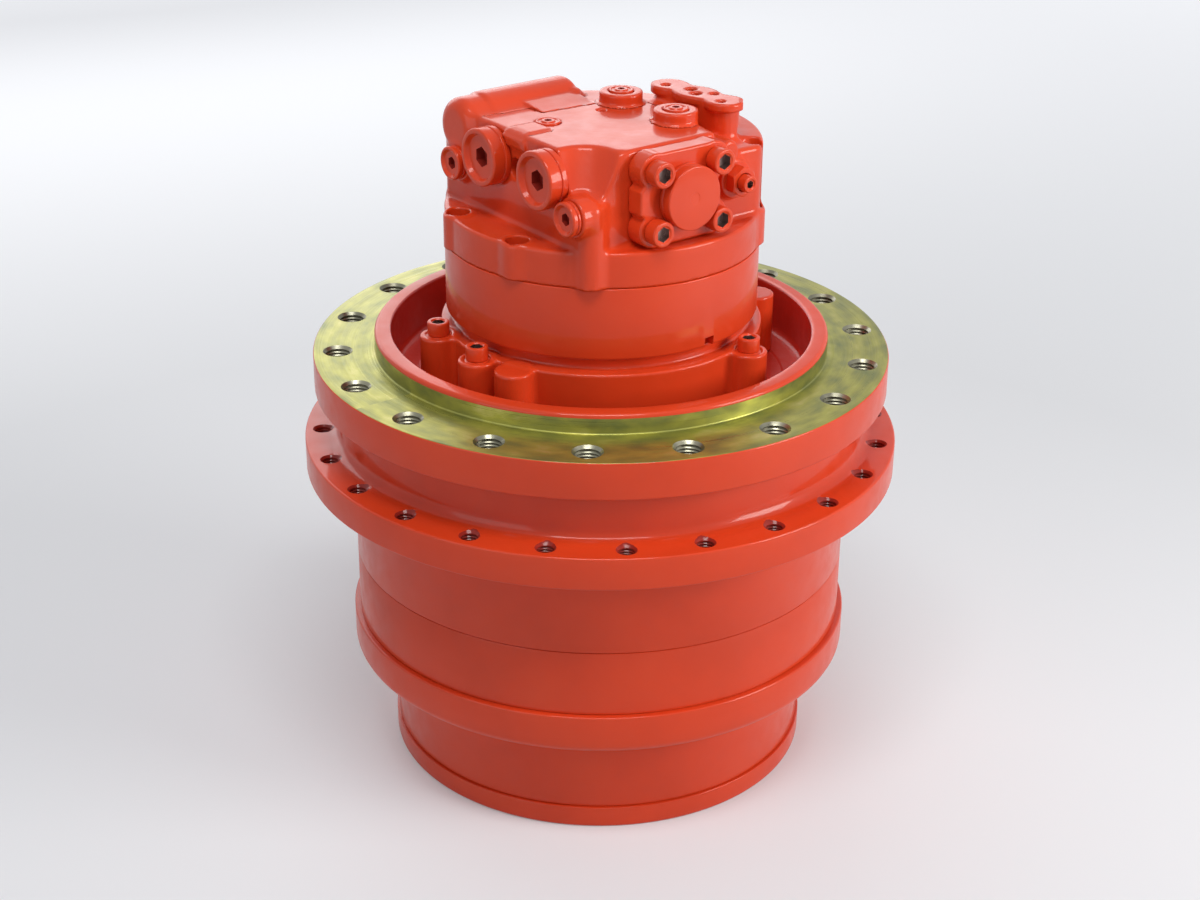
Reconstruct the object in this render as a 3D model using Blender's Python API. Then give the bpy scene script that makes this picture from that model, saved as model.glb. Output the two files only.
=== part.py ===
"""Excavator final drive: a travel motor on a two-stage planetary reducer inside a rotating hub.

Metres, +Z up, origin at the centre of the end cover's lower face, on the drive's main axis.
The motor's port face looks along -X and its valve cap along -Y.
"""

from math import acos, cos, degrees, pi, radians, sin, sqrt, tan

import bmesh
import bpy
from mathutils import Matrix, Vector

# Clearances
SEAT_GAP = 0.0003
BACKLASH = 0.0005
EDGE = 0.0020
CUT_OVERRUN = 0.0100

# Facets of a full turn
HUB_FACETS = 32
CASING_FACETS = 28
INNER_FACETS = 16
SMALL_FACETS = 10
HOLE_FACETS = 8
SHANK_FACETS = 6
SLOT_FACETS = 4

# Hub, from the end cover up
COVER_OVERHANG = 0.0019
COVER_HEIGHT = 0.0168
COVER_RECESS_RADIUS = 0.1240
COVER_RECESS_DEPTH = 0.0040
COVER_INNER_HEIGHT = 0.0050
COVER_PLUG_RADIUS = 0.0130
COVER_PLUG_CIRCLE = 0.0850
COVER_PLUG_ANGLES = (0, 180)
LOWER_CASE_WALL = 0.0325
LOWER_CASE_HEIGHT = 0.0656
RIM_STEP = 0.0042
RIM_HEIGHT = 0.0300
RIM_ROUND = 0.0060
CARRIER_ROOM_RADIUS = 0.1580
RING_2_WALL = 0.0308
RING_2_HEIGHT = 0.0496
HUB_BARREL_HEIGHT = 0.0688
SPROCKET_FLANGE_WIDTH = 0.0352
SPROCKET_FLANGE_THICKNESS = 0.0239
FLANGE_FILLET = 0.0040
SPROCKET_HOLE_RADIUS = 0.0070
SPROCKET_HOLE_INSET = 0.0129
SPROCKET_HOLE_COUNT = 24
SPROCKET_HOLE_START = 12.5
NECK_STEP = 0.0082
NECK_HEIGHT = 0.0325
NECK_ROOT_WIDTH = 0.0100
NECK_ROOT_HEIGHT = 0.0090
NECK_WALL = 0.0130
BEARING_WALL = 0.0165

# Spindle, from the frame flange down
FLANGE_SPACE = 0.0384
FRAME_FLANGE_WIDTH = 0.0449
FRAME_FLANGE_THICKNESS = 0.0272
FRAME_HOLE_RADIUS = 0.0102
FRAME_HOLE_INSET = 0.0180
FRAME_HOLE_COUNT = 18
FRAME_HOLE_START = 10.0
PILOT_HEIGHT = 0.0144
PILOT_WALL = 0.0124
POCKET_ROOM = 0.0159
POCKET_DEPTH = 0.0379
SPIGOT_RADIUS = 0.1000
SPIGOT_DEPTH = 0.0357
SEAL_WIDTH = 0.0117
SPINDLE_BORE_RADIUS = 0.1120
CARRIER_SEAT_RADIUS = 0.1200
BEARING_STOP_STEP = 0.0070
FRAME_HUB_STEP = 0.0077
SPINDLE_WEB = 0.0200
SHAFT_PASSAGE_RADIUS = 0.0300

# Main bearings, seals and nut
BEARING_HEIGHT = 0.0300
BEARING_WIDTH = 0.0183
BEARING_SHOULDER = 0.0114
BEARING_SHOULDER_STEP = 0.0063
NUT_HEIGHT = 0.0080
NUT_WIDTH = 0.0070
NUT_SLOTS = 4
NUT_SLOT_RADIUS = 0.0030
SEAL_RING_HEIGHT = 0.0110
SEAL_LEAN = 0.0025
SEAL_LIFT = 0.0055

# Gears: the first stage is the fast one, next to the end cover
MODULE_1 = 0.0050
SUN_1_TEETH = 12
PLANET_1_TEETH = 18
MODULE_2 = 0.0070
SUN_2_TEETH = 12
PLANET_2_TEETH = 15
PLANETS = 3
PRESSURE_ANGLE = radians(20)
ADDENDUM = 0.8
DEDENDUM = 1.0
FACE_1 = 0.0420
FACE_2 = 0.0420
PLATE_CLEARANCE = 0.0005
PIN_1_RADIUS = 0.0140
PIN_2_RADIUS = 0.0180
CARRIER_1_RADIUS = 0.1080
CARRIER_1_PLATE = 0.0045
CARRIER_1_HUB = 0.0180
CARRIER_1_TAPER = 0.0060
CARRIER_1_WEB_RADIUS = 0.0150
CARRIER_1_WEB_CIRCLE = 0.0900
CARRIER_2_RADIUS = 0.1360
CARRIER_2_PLATE = 0.0165
CARRIER_2_FLANGE = 0.0230
CARRIER_2_WEB_RADIUS = 0.0220
CARRIER_2_WEB_CIRCLE = 0.1120
SUN_2_JOURNAL_RADIUS = 0.0330
SUN_2_BORE_RADIUS = 0.0200
SUN_2_ROOM = 0.0030
SUN_1_BORE_RADIUS = 0.0140
THRUST_WASHER_HEIGHT = 0.0055
THRUST_WASHER_RADIUS = 0.0400

# Motor
SHAFT_RADIUS = 0.0160
MOTOR_FLANGE_STEP = 0.0036
MOTOR_FLANGE_HEIGHT = 0.0450
MOTOR_NECK_STEP = 0.0054
MOTOR_NECK_HEIGHT = 0.0089
MOTOR_WALL = 0.0240
MOTOR_FLOOR = 0.0080
SHAFT_EXIT_RADIUS = 0.0220
FLANGE_LOBE_RADIUS = 0.0135
FLANGE_LOBE_STEP = 0.0111
FLANGE_LOBE_ANGLES = (163.5, 188.5, 203.5, 289.0, 343.5, 8.5, 23.5, 109.0)
FLANGE_BOLT_ANGLES = (163.5, 188.5, 289.0, 109.0)
FLANGE_BOLT_RADIUS = 0.0080
FLANGE_BOLT_HEIGHT = 0.0100
FLANGE_BOLT_SHANK = 0.0050
FLANGE_BOLT_LENGTH = 0.0300
CASING_RADIUS = 0.1134
CASING_HEIGHT = 0.0520
CASING_WALL = 0.0154
BRAKE_SHOULDER_WIDTH = 0.0120
BRAKE_SHOULDER_HEIGHT = 0.0195
NOTCH_ANGLE = -86.0
NOTCH_WIDTH = 0.0085
NOTCH_HEIGHT = 0.0070
NOTCH_DEPTH = 0.0070
FRONT_BEARING_RADIUS = 0.0400
FRONT_BEARING_HEIGHT = 0.0220
FRONT_BEARING_LIFT = 0.0100
REAR_BEARING_RADIUS = 0.0300
REAR_BEARING_HEIGHT = 0.0180

# Rotating group
BLOCK_RADIUS = 0.0620
BLOCK_HEIGHT = 0.0360
BLOCK_END = 0.0085
BLOCK_PISTONS = 7
PISTON_RADIUS = 0.0085
PISTON_CIRCLE = 0.0450
PISTON_LENGTH = 0.0300
RETAINER_RADIUS = 0.0550
RETAINER_HEIGHT = 0.0035
VALVE_PLATE_HEIGHT = 0.0056
VALVE_PLATE_RADIUS = 0.0580
VALVE_PORT_RADIUS = 0.0090
BRAKE_DISC_HEIGHT = 0.0040
BRAKE_PISTON_HEIGHT = 0.0210
BRAKE_PISTON_WIDTH = 0.0320
SWASH_TILT = 14.0
SWASH_RADIUS = 0.0540
SWASH_THICKNESS = 0.0110
SWASH_FACE_LIFT = 0.0030
SWASH_PIVOT_LIFT = 0.0260
SWASH_BACK_RADIUS = 0.0230
SWASH_BACK_REACH = 60
SWASH_BACK_STEP = 20
SWASH_PAD_INNER = 0.0280
SWASH_PAD_WIDTH = 0.0200
SWASH_HOLE_RADIUS = 0.0240
CRADLE_DEPTH = 0.0150
CRADLE_DROP = 0.0140

# Head casting
HEAD_FLANGE_HEIGHT = 0.0252
HEAD_BLOCK_HEIGHT = 0.0665
PORT_FACE_X = -0.0820
CAP_FACE_Y = -0.0880
HEAD_CORNER_ANGLE = -131.0
HEAD_CORNER_REACH = 0.1210
HEAD_CORNER_SPAN = 9.0
HEAD_CORNER_LEAN = 0.0205
HEAD_CORNER_EDGES = (-142.5, -120.0)
CORNER_LEAN_LIFT = 0.0330
SHOULDER_LIFT = 0.0440
HEAD_STEP = 15
FLAT_SHARE = 0.1
SHOULDER_REACHES = (0.0884, 0.0434, 0.0534, 0.0934)
HEAD_EDGE_ROUND = 0.0035
HEAD_LUG_RADIUS = 0.0110
HEAD_BOLT_INSET = 0.0076
HEAD_BOLT_ANGLES = (159.5, 199.5, 315.0, 45.0)
HEAD_BOLT_RADIUS = 0.0075
HEAD_BOLT_HEIGHT = 0.0075
HEAD_BOLT_SHANK = 0.0040
HEAD_BOLT_SUNK = 0.0060
HEAD_BOLT_LENGTH = 0.0450
CORNER_LUG_INSET = 0.0110
CORNER_LUG_RADIUS = 0.0090
BULGE_Y = 0.0580
BULGE_OVERHANG = 0.0060
BULGE_LENGTH = 0.1000
BULGE_RADIUS = 0.0235
BULGE_DROP = 0.0105
BULGE_SHAPE = ((0.5, 0.0), (0.9, 0.12), (1.0, 0.45), (0.85, 0.8), (0.5, 1.0))
BOSS_RADIUS = 0.0155
BOSS_RISE = 0.0085
BOSS_PLACES = ((0.0220, 0.0080), (0.0240, -0.0510))
RAMP_RISE = 0.0030
RAMP_FOOT = 0.0003
RAMP_BACK = ((-0.0560, 0.0520), (-0.0410, 0.0450))
RAMP_FRONT = ((-0.0390, 0.0190), (0.0050, 0.0160))
RAMP_END = (0.0080, 0.0600)
FLAT_PLUG_PLACE = (-0.0495, -0.0020)
GAUGE_PLUG_RADIUS = 0.0087
GAUGE_PLUG_RISE = 0.0014
GAUGE_PLUG_SEAT = 0.0030
PAD_CENTRE = (0.0570, -0.0340)
PAD_ANGLE = -85.0
PAD_LOBE_SPACING = 0.0560
PAD_LOBE_RADIUS = 0.0135
PAD_LOBE_POINTS = 6
PAD_RISE = 0.0115
PAD_THICKNESS = 0.0060
PAD_WAIST = 0.80

# Port plugs, each at (y, height above the ledge) on the port face
PORT_PLUG_RADIUS = 0.0205
PORT_PLUG_PLACES = ((0.0168, 0.0445), (-0.0486, 0.0448))
SIDE_PLUG_RADIUS = 0.0122
SIDE_PLUG_PLACES = ((0.0560, 0.0300), (-0.0790, 0.0255))
PLUG_HEAD_HEIGHT = 0.0140
PLUG_RIM = 0.0030
PLUG_SOCKET_FLATS = 0.0130
PLUG_BOSS_HEIGHT = 0.0045
PLUG_BOSS_MARGIN = 0.0020
PLUG_SHANK_SHARE = 0.70
PLUG_SHANK_LENGTH = 0.0160
SPOT_FACE_DEPTH = 0.0008
SPOT_FACE_MARGIN = 0.0012

# Valve cap, its screws, and the adjuster beside it
CAP_X = -0.0087
CAP_LIFT = 0.0332
CAP_THICKNESS = 0.0142
CAP_SCREW_X = 0.0259
CAP_SCREW_Z = 0.0205
CAP_LOBE_RADIUS = 0.0123
CAP_PLUG_RADIUS = 0.0225
CAP_PLUG_HEIGHT = 0.0105
CAP_SCREW_RADIUS = 0.0090
CAP_SCREW_HEAD = 0.0105
CAP_SCREW_SHANK = 0.0060
CAP_SCREW_LENGTH = 0.0300
SPOOL_RADIUS = 0.0130
SPOOL_LENGTH = 0.1000
SPOOL_STROKE = 0.0060
SPOOL_END_ROOM = 0.0060
SPOOL_GROOVE_START = 0.30
SPOOL_GROOVE_RADIUS = 0.0085
ADJUSTER_X = 0.0445
ADJUSTER_LIFT = 0.0315
ADJUSTER_BOSS_RADIUS = 0.0140
ADJUSTER_BOSS_HEIGHT = 0.0060
ADJUSTER_NUT_FLATS = 0.0190
ADJUSTER_NUT_HEIGHT = 0.0080
ADJUSTER_SCREW_RADIUS = 0.0060
ADJUSTER_SCREW_REACH = 0.0210

# Gear sizes worked out from the teeth
RING_1_TEETH = SUN_1_TEETH + 2 * PLANET_1_TEETH
RING_2_TEETH = SUN_2_TEETH + 2 * PLANET_2_TEETH
RING_1_TIP = (RING_1_TEETH / 2 - ADDENDUM) * MODULE_1
RING_1_ROOT = (RING_1_TEETH / 2 + DEDENDUM) * MODULE_1
RING_2_ROOT = (RING_2_TEETH / 2 + DEDENDUM) * MODULE_2
PLANET_1_CIRCLE = (SUN_1_TEETH + PLANET_1_TEETH) * MODULE_1 / 2
PLANET_2_CIRCLE = (SUN_2_TEETH + PLANET_2_TEETH) * MODULE_2 / 2
PLANET_ANGLES = [360 * k / PLANETS for k in range(PLANETS)]
WEB_ANGLES = [angle + 180 / PLANETS for angle in PLANET_ANGLES]

# Radii worked out from the ring gears, wall by wall
LOWER_CASE_RADIUS = RING_1_ROOT + LOWER_CASE_WALL
COVER_RADIUS = LOWER_CASE_RADIUS + COVER_OVERHANG
HUB_RADIUS = RING_2_ROOT + RING_2_WALL
RIM_RADIUS = HUB_RADIUS + RIM_STEP
SPROCKET_FLANGE_RADIUS = HUB_RADIUS + SPROCKET_FLANGE_WIDTH
SPROCKET_HOLE_CIRCLE = SPROCKET_FLANGE_RADIUS - SPROCKET_HOLE_INSET
NECK_RADIUS = HUB_RADIUS + NECK_STEP
NECK_ROOT_RADIUS = NECK_RADIUS + NECK_ROOT_WIDTH
SEAL_BORE_RADIUS = NECK_RADIUS - NECK_WALL
BEARING_OUTER_RADIUS = HUB_RADIUS - BEARING_WALL
BEARING_SHOULDER_RADIUS = BEARING_OUTER_RADIUS - BEARING_SHOULDER_STEP
SPINDLE_RADIUS = BEARING_OUTER_RADIUS - BEARING_WIDTH
BEARING_STOP_RADIUS = SPINDLE_RADIUS + BEARING_STOP_STEP
NUT_RADIUS = SPINDLE_RADIUS + NUT_WIDTH
SPINDLE_SEAL_RADIUS = SEAL_BORE_RADIUS - SEAL_WIDTH
FRAME_HUB_RADIUS = SPINDLE_SEAL_RADIUS + FRAME_HUB_STEP

# Radii and faces worked out from the motor casing
MOTOR_FLANGE_RADIUS = CASING_RADIUS + MOTOR_FLANGE_STEP
MOTOR_NECK_RADIUS = CASING_RADIUS - MOTOR_NECK_STEP
MOTOR_BORE_RADIUS = MOTOR_NECK_RADIUS - MOTOR_WALL
FLANGE_LOBE_CIRCLE = CASING_RADIUS + FLANGE_LOBE_STEP
CASING_BORE_RADIUS = CASING_RADIUS - CASING_WALL
BRAKE_SHOULDER_RADIUS = CASING_BORE_RADIUS - BRAKE_SHOULDER_WIDTH
BRAKE_PISTON_BORE = CASING_BORE_RADIUS - BRAKE_PISTON_WIDTH
HEAD_BOLT_CIRCLE = CASING_RADIUS - HEAD_BOLT_INSET
CORNER_LUG_CIRCLE = HEAD_CORNER_REACH - CORNER_LUG_INSET
BULGE_START = PORT_FACE_X - BULGE_OVERHANG
POCKET_RADIUS = FLANGE_LOBE_CIRCLE + FLANGE_LOBE_RADIUS + POCKET_ROOM
PILOT_RADIUS = POCKET_RADIUS + PILOT_WALL
FRAME_FLANGE_RADIUS = PILOT_RADIUS + FRAME_FLANGE_WIDTH
FRAME_HOLE_CIRCLE = FRAME_FLANGE_RADIUS - FRAME_HOLE_INSET

# Heights worked out from the bottom up
COVER_TOP = COVER_HEIGHT
CASE_BOTTOM = COVER_TOP + SEAT_GAP
STEP_HEIGHT = CASE_BOTTOM + LOWER_CASE_HEIGHT
RIM_TOP = STEP_HEIGHT + RIM_HEIGHT
RING_2_BOTTOM = RIM_TOP + SEAT_GAP
RING_2_TOP = RING_2_BOTTOM + RING_2_HEIGHT
HUB_BOTTOM = RING_2_TOP + SEAT_GAP
SPROCKET_FACE = HUB_BOTTOM + HUB_BARREL_HEIGHT
SPROCKET_TOP = SPROCKET_FACE + SPROCKET_FLANGE_THICKNESS
FRAME_FACE_BOTTOM = SPROCKET_TOP + FLANGE_SPACE
FRAME_FACE = FRAME_FACE_BOTTOM + FRAME_FLANGE_THICKNESS
PILOT_TOP = FRAME_FACE + PILOT_HEIGHT
POCKET_FLOOR = PILOT_TOP - POCKET_DEPTH
SPIGOT_FLOOR = POCKET_FLOOR - SPIGOT_DEPTH
COVER_INNER_TOP = COVER_TOP + COVER_INNER_HEIGHT

# Stage heights
PLANET_2_BOTTOM = RING_2_BOTTOM + (RING_2_HEIGHT - FACE_2) / 2
PLANET_2_TOP = PLANET_2_BOTTOM + FACE_2
CARRIER_2_FLANGE_BOTTOM = PLANET_2_TOP + PLATE_CLEARANCE
CARRIER_2_TOP = CARRIER_2_FLANGE_BOTTOM + CARRIER_2_FLANGE
CARRIER_2_PLATE_TOP = PLANET_2_BOTTOM - PLATE_CLEARANCE
CARRIER_2_BOTTOM = CARRIER_2_PLATE_TOP - CARRIER_2_PLATE
WASHER_BOTTOM = COVER_INNER_TOP + SEAT_GAP
CARRIER_1_BOTTOM = WASHER_BOTTOM + THRUST_WASHER_HEIGHT + SEAT_GAP
PLANET_1_BOTTOM = CARRIER_1_BOTTOM + CARRIER_1_PLATE + PLATE_CLEARANCE
PLANET_1_TOP = PLANET_1_BOTTOM + FACE_1
CARRIER_1_HUB_BOTTOM = PLANET_1_TOP + PLATE_CLEARANCE
CARRIER_1_TOP = CARRIER_1_HUB_BOTTOM + CARRIER_1_HUB

# Bearing and spindle heights
SPINDLE_BOTTOM = RING_2_TOP + 4 * SEAT_GAP
SPINDLE_COLLAR = CARRIER_2_TOP + SEAT_GAP
NUT_BOTTOM = SPINDLE_BOTTOM + 2 * SEAT_GAP
LOWER_BEARING = NUT_BOTTOM + NUT_HEIGHT + SEAT_GAP
LOWER_BEARING_TOP = LOWER_BEARING + BEARING_HEIGHT
UPPER_BEARING = LOWER_BEARING_TOP + 2 * SEAT_GAP + BEARING_SHOULDER
UPPER_BEARING_TOP = UPPER_BEARING + BEARING_HEIGHT
SEAL_BOTTOM = SPROCKET_TOP + SEAL_LIFT
NECK_TOP = SPROCKET_TOP + NECK_HEIGHT
LOWER_SEAL_TOP = SEAL_BOTTOM + SEAL_RING_HEIGHT
UPPER_SEAL_BOTTOM = LOWER_SEAL_TOP + SEAT_GAP
UPPER_SEAL_TOP = UPPER_SEAL_BOTTOM + SEAL_RING_HEIGHT

# Motor heights
MOTOR_BOTTOM = POCKET_FLOOR + SEAT_GAP
MOTOR_FLANGE_TOP = MOTOR_BOTTOM + MOTOR_FLANGE_HEIGHT
MOTOR_NECK_TOP = MOTOR_FLANGE_TOP + MOTOR_NECK_HEIGHT
CASING_BOTTOM = MOTOR_NECK_TOP + SEAT_GAP
CASING_TOP = CASING_BOTTOM + CASING_HEIGHT
HEAD_BOTTOM = CASING_TOP + SEAT_GAP
LEDGE = HEAD_BOTTOM + HEAD_FLANGE_HEIGHT
HEAD_TOP = LEDGE + HEAD_BLOCK_HEIGHT
FRONT_BEARING_BOTTOM = SPIGOT_FLOOR + FRONT_BEARING_LIFT
SWASH_PIVOT = MOTOR_BOTTOM + MOTOR_FLOOR + SWASH_PIVOT_LIFT
VALVE_PLATE_BOTTOM = CASING_TOP - VALVE_PLATE_HEIGHT
BLOCK_TOP = VALVE_PLATE_BOTTOM - SEAT_GAP
BLOCK_BOTTOM = BLOCK_TOP - BLOCK_HEIGHT
BRAKE_DISC_BOTTOM = CASING_BOTTOM + BRAKE_SHOULDER_HEIGHT + SEAT_GAP
BRAKE_PISTON_BOTTOM = BRAKE_DISC_BOTTOM + BRAKE_DISC_HEIGHT + SEAT_GAP
SHAFT_TOP = HEAD_BOTTOM + REAR_BEARING_HEIGHT + SEAT_GAP
RETAINER_BOTTOM = SWASH_PIVOT + SWASH_FACE_LIFT / cos(radians(SWASH_TILT)) + 4 * SEAT_GAP
RETAINER_BOTTOM += RETAINER_RADIUS * tan(radians(SWASH_TILT))
HEAD_BOLT_SEAT = LEDGE - HEAD_BOLT_SUNK - HEAD_BOLT_HEIGHT
CORNER_LEAN = LEDGE + CORNER_LEAN_LIFT
SHOULDER_LEAN = LEDGE + SHOULDER_LIFT

# Flats of the head: facing angle, distance below, distance at the top, height where it starts to lean
HEAD_FLATS = (
    (180.0, -PORT_FACE_X, -PORT_FACE_X, SHOULDER_LEAN),
    (-90.0, -CAP_FACE_Y, -CAP_FACE_Y, SHOULDER_LEAN),
    (HEAD_CORNER_ANGLE, HEAD_CORNER_REACH, HEAD_CORNER_REACH - HEAD_CORNER_LEAN, CORNER_LEAN),
    (-35.0, CASING_RADIUS, SHOULDER_REACHES[0], SHOULDER_LEAN),
    (5.0, CASING_RADIUS, SHOULDER_REACHES[1], SHOULDER_LEAN),
    (60.0, CASING_RADIUS, SHOULDER_REACHES[2], SHOULDER_LEAN),
    (125.0, CASING_RADIUS, SHOULDER_REACHES[3], SHOULDER_LEAN),
)

# Colours: red enamel outside, chromate on the frame flange, steel inside
ENAMEL = ((0.62, 0.075, 0.030), 0.28, 0.0)
BARE_STEEL = ((0.42, 0.42, 0.43), 0.32, 1.0)
DARK_STEEL = ((0.10, 0.10, 0.11), 0.45, 0.9)
GEAR_STEEL = ((0.50, 0.49, 0.47), 0.30, 1.0)
BRONZE = ((0.55, 0.36, 0.16), 0.35, 1.0)


def polar(radius, angle, height=0.0):
    """The point at this radius, angle in degrees, and height."""
    return Vector((radius * cos(radians(angle)), radius * sin(radians(angle)), height))


def circle(radius, facets, centre=(0.0, 0.0), turn=0.0):
    """Plan outline of a circle."""
    angles = [turn + 2 * pi * k / facets for k in range(facets)]
    return [(centre[0] + radius * cos(angle), centre[1] + radius * sin(angle)) for angle in angles]


def facing(direction):
    """Rotation that turns +Z to this direction."""
    return Vector(direction).to_track_quat("Z", "Y").to_matrix().to_4x4()


def clear_bore(radius, facets):
    """Radius of a faceted bore whose flats stay a seat gap clear of a round piece."""
    return (radius + SEAT_GAP) / cos(pi / facets)


class Shape:
    """A mesh under construction. Each call adds one closed body to it."""

    def __init__(self):
        self.mesh = bmesh.new()

    def loft(self, loops, place=Matrix()):
        """Closed skin through loops of points with the same count, with a flat cap at each end."""
        rings = [[self.mesh.verts.new(place @ Vector(p)) for p in loop] for loop in loops]
        for low, high in zip(rings, rings[1:]):
            for a, b, c, d in zip(low, low[1:] + low[:1], high[1:] + high[:1], high):
                self.mesh.faces.new((a, b, c, d))
        self.mesh.faces.new(rings[0][::-1])
        self.mesh.faces.new(rings[-1])
        return self

    def prism(self, outline, bottom, top, place=Matrix()):
        """Straight extrusion of a plan outline."""
        return self.loft([[(x, y, z) for x, y in outline] for z in (bottom, top)], place)

    def rod(self, radius, bottom, top, facets, place=Matrix(), turn=0.0):
        """Cylinder between two heights."""
        return self.prism(circle(radius, facets, turn=turn), bottom, top, place)

    def plate(self, outlines, bottom, top, place=Matrix()):
        """Straight extrusion of an outline with holes: the first outline is the outer one."""
        ends = {bottom: [], top: []}
        for outline in outlines:
            rings = {z: [self.mesh.verts.new(place @ Vector((x, y, z))) for x, y in outline] for z in ends}
            low, high = rings[bottom], rings[top]
            for a, b, c, d in zip(low, low[1:] + low[:1], high[1:] + high[:1], high):
                self.mesh.faces.new((a, b, c, d))
            for z, ring in rings.items():
                ends[z] += [self.mesh.edges.get(pair) for pair in zip(ring, ring[1:] + ring[:1])]
        for edges in ends.values():
            bmesh.ops.triangle_fill(self.mesh, edges=edges, use_beauty=True)
        return self

    def step(self, outline, reach):
        """A slimmer prism out of the body's first cap, which becomes a ring round it."""
        self.mesh.faces.ensure_lookup_table()
        cap = min(self.mesh.faces, key=lambda face: face.calc_center_median().z)
        level = cap.verts[0].co.z
        edges = list(cap.edges)
        self.mesh.faces.remove(cap)
        low, high = [[self.mesh.verts.new((x, y, z)) for x, y in outline] for z in (reach, level)]
        for a, b, c, d in zip(low, low[1:] + low[:1], high[1:] + high[:1], high):
            self.mesh.faces.new((a, b, c, d))
        self.mesh.faces.new(low[::-1])
        edges += [self.mesh.edges.get(pair) for pair in zip(high, high[1:] + high[:1])]
        bmesh.ops.triangle_fill(self.mesh, edges=edges, use_beauty=True)
        return self

    def turned(self, profile, facets, place=Matrix()):
        """Body of revolution about Z of a closed (radius, height) profile."""
        rings = []
        for radius, z in profile:
            outline = circle(radius, facets) if radius > 0 else [(0, 0)]
            rings.append([self.mesh.verts.new(place @ Vector((x, y, z))) for x, y in outline])
        for low, high in zip(rings, rings[1:] + rings[:1]):
            for k in range(facets):
                below = [low[k % len(low)], low[(k + 1) % len(low)]]
                corners = below + [high[(k + 1) % len(high)], high[k % len(high)]]
                unique = list(dict.fromkeys(corners))
                if len(unique) > 2:
                    self.mesh.faces.new(unique)
        return self

    def finish(self, name):
        """A mesh with its faces pointing out."""
        bmesh.ops.remove_doubles(self.mesh, verts=self.mesh.verts, dist=1e-7)
        bmesh.ops.recalc_face_normals(self.mesh, faces=self.mesh.faces)
        data = bpy.data.meshes.new(name)
        self.mesh.to_mesh(data)
        self.mesh.free()
        return data


def material(name, finish):
    """Principled material from a (colour, roughness, metallic) finish."""
    colour, roughness, metallic = finish
    made = bpy.data.materials.new(name)
    made.use_nodes = True
    shader = made.node_tree.nodes["Principled BSDF"]
    shader.inputs["Base Color"].default_value = (*colour, 1.0)
    shader.inputs["Roughness"].default_value = roughness
    shader.inputs["Metallic"].default_value = metallic
    return made


def piece(name, shape, finish, body=None, place=Matrix(), joins=(), cuts=()):
    """A named object with its material, after its joins and cuts, on the empty of the body it turns with."""
    obj = bpy.data.objects.new(name, shape.finish(name))
    bpy.context.scene.collection.objects.link(obj)
    for operation, tools in (("UNION", joins), ("DIFFERENCE", cuts)):
        for tool in tools:
            combine(obj, tool, operation)
    obj.data.materials.append(material(name, finish))
    obj.data.shade_smooth()
    obj.data.set_sharp_from_angle(angle=radians(35))
    obj.matrix_world = place
    if body:
        obj.parent = body
    return obj


def combine(obj, tool, operation):
    """Boolean of the object with a shape, made into its mesh."""
    cutter = bpy.data.objects.new("tool", tool.finish("tool"))
    bpy.context.scene.collection.objects.link(cutter)
    cutter.hide_render = True
    cutter.display_type = "WIRE"
    modifier = obj.modifiers.new(operation, "BOOLEAN")
    modifier.operation = operation
    modifier.solver = "EXACT"
    modifier.object = cutter
    graph = bpy.context.evaluated_depsgraph_get()
    result = bpy.data.meshes.new_from_object(obj.evaluated_get(graph))
    obj.modifiers.clear()
    obj.data = result
    bpy.data.objects.remove(cutter)


def pivot(name, point=(0, 0, 0), parent=None):
    """Empty on a joint's axis that carries the pieces of one moving body."""
    empty = bpy.data.objects.new(name, None)
    bpy.context.scene.collection.objects.link(empty)
    empty.location = point
    if parent:
        empty.parent = parent
    return empty


def hex_outline(flats):
    """Plan outline of a hexagon from its width across flats."""
    return circle(flats / sqrt(3), 6)


def holes(radius, pitch_radius, angles, bottom, top, facets=HOLE_FACETS):
    """Straight holes on a circle, as one cutting shape."""
    cutter = Shape()
    for angle in angles:
        cutter.rod(radius, bottom, top, facets, Matrix.Translation(polar(pitch_radius, angle)))
    return cutter


# Gear teeth


def involute(angle):
    return tan(angle) - angle


def tooth_half_angle(teeth, module, radius, thinning):
    """Half the angle that an external tooth spans at this radius."""
    pitch_radius = teeth * module / 2
    base_radius = pitch_radius * cos(PRESSURE_ANGLE)
    at_radius = acos(min(1.0, base_radius / radius))
    return pi / (2 * teeth) - thinning / (2 * pitch_radius) + involute(PRESSURE_ANGLE) - involute(at_radius)


def gear_outline(teeth, module, turn, internal=False):
    """Outline with a tooth centred on the angle turn. An internal outline is the edge of the toothed hole."""
    pitch_radius = teeth * module / 2
    inner = pitch_radius - (ADDENDUM if internal else DEDENDUM) * module
    outer = pitch_radius + (DEDENDUM if internal else ADDENDUM) * module
    thinning = -BACKLASH * 2 if internal else BACKLASH / 2
    flank = [(radius, tooth_half_angle(teeth, module, radius, thinning)) for radius in (inner, outer)]
    if internal:
        turn += pi / teeth
    points = []
    for k in range(teeth):
        centre = turn + 2 * pi * k / teeth
        for side, radii in ((-1, flank), (1, flank[::-1])):
            points += [(r * cos(centre + side * half), r * sin(centre + side * half)) for r, half in radii]
    return points


def planet_turn(angle, ring_teeth, planet_teeth):
    """Where a planet at this angle has a tooth, when the ring has one on +X."""
    ring_phase = ring_teeth * angle / (2 * pi)
    return angle - (ring_phase + 0.5) * 2 * pi / planet_teeth


def sun_turn(angle, ring_teeth, planet_teeth, sun_teeth):
    """Where the sun has a tooth, to mesh with the planet at this angle."""
    planet_phase = planet_teeth * (angle + pi - planet_turn(angle, ring_teeth, planet_teeth)) / (2 * pi)
    return angle - (0.5 - planet_phase) * 2 * pi / sun_teeth


# Hub and the gears that turn with it


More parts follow.
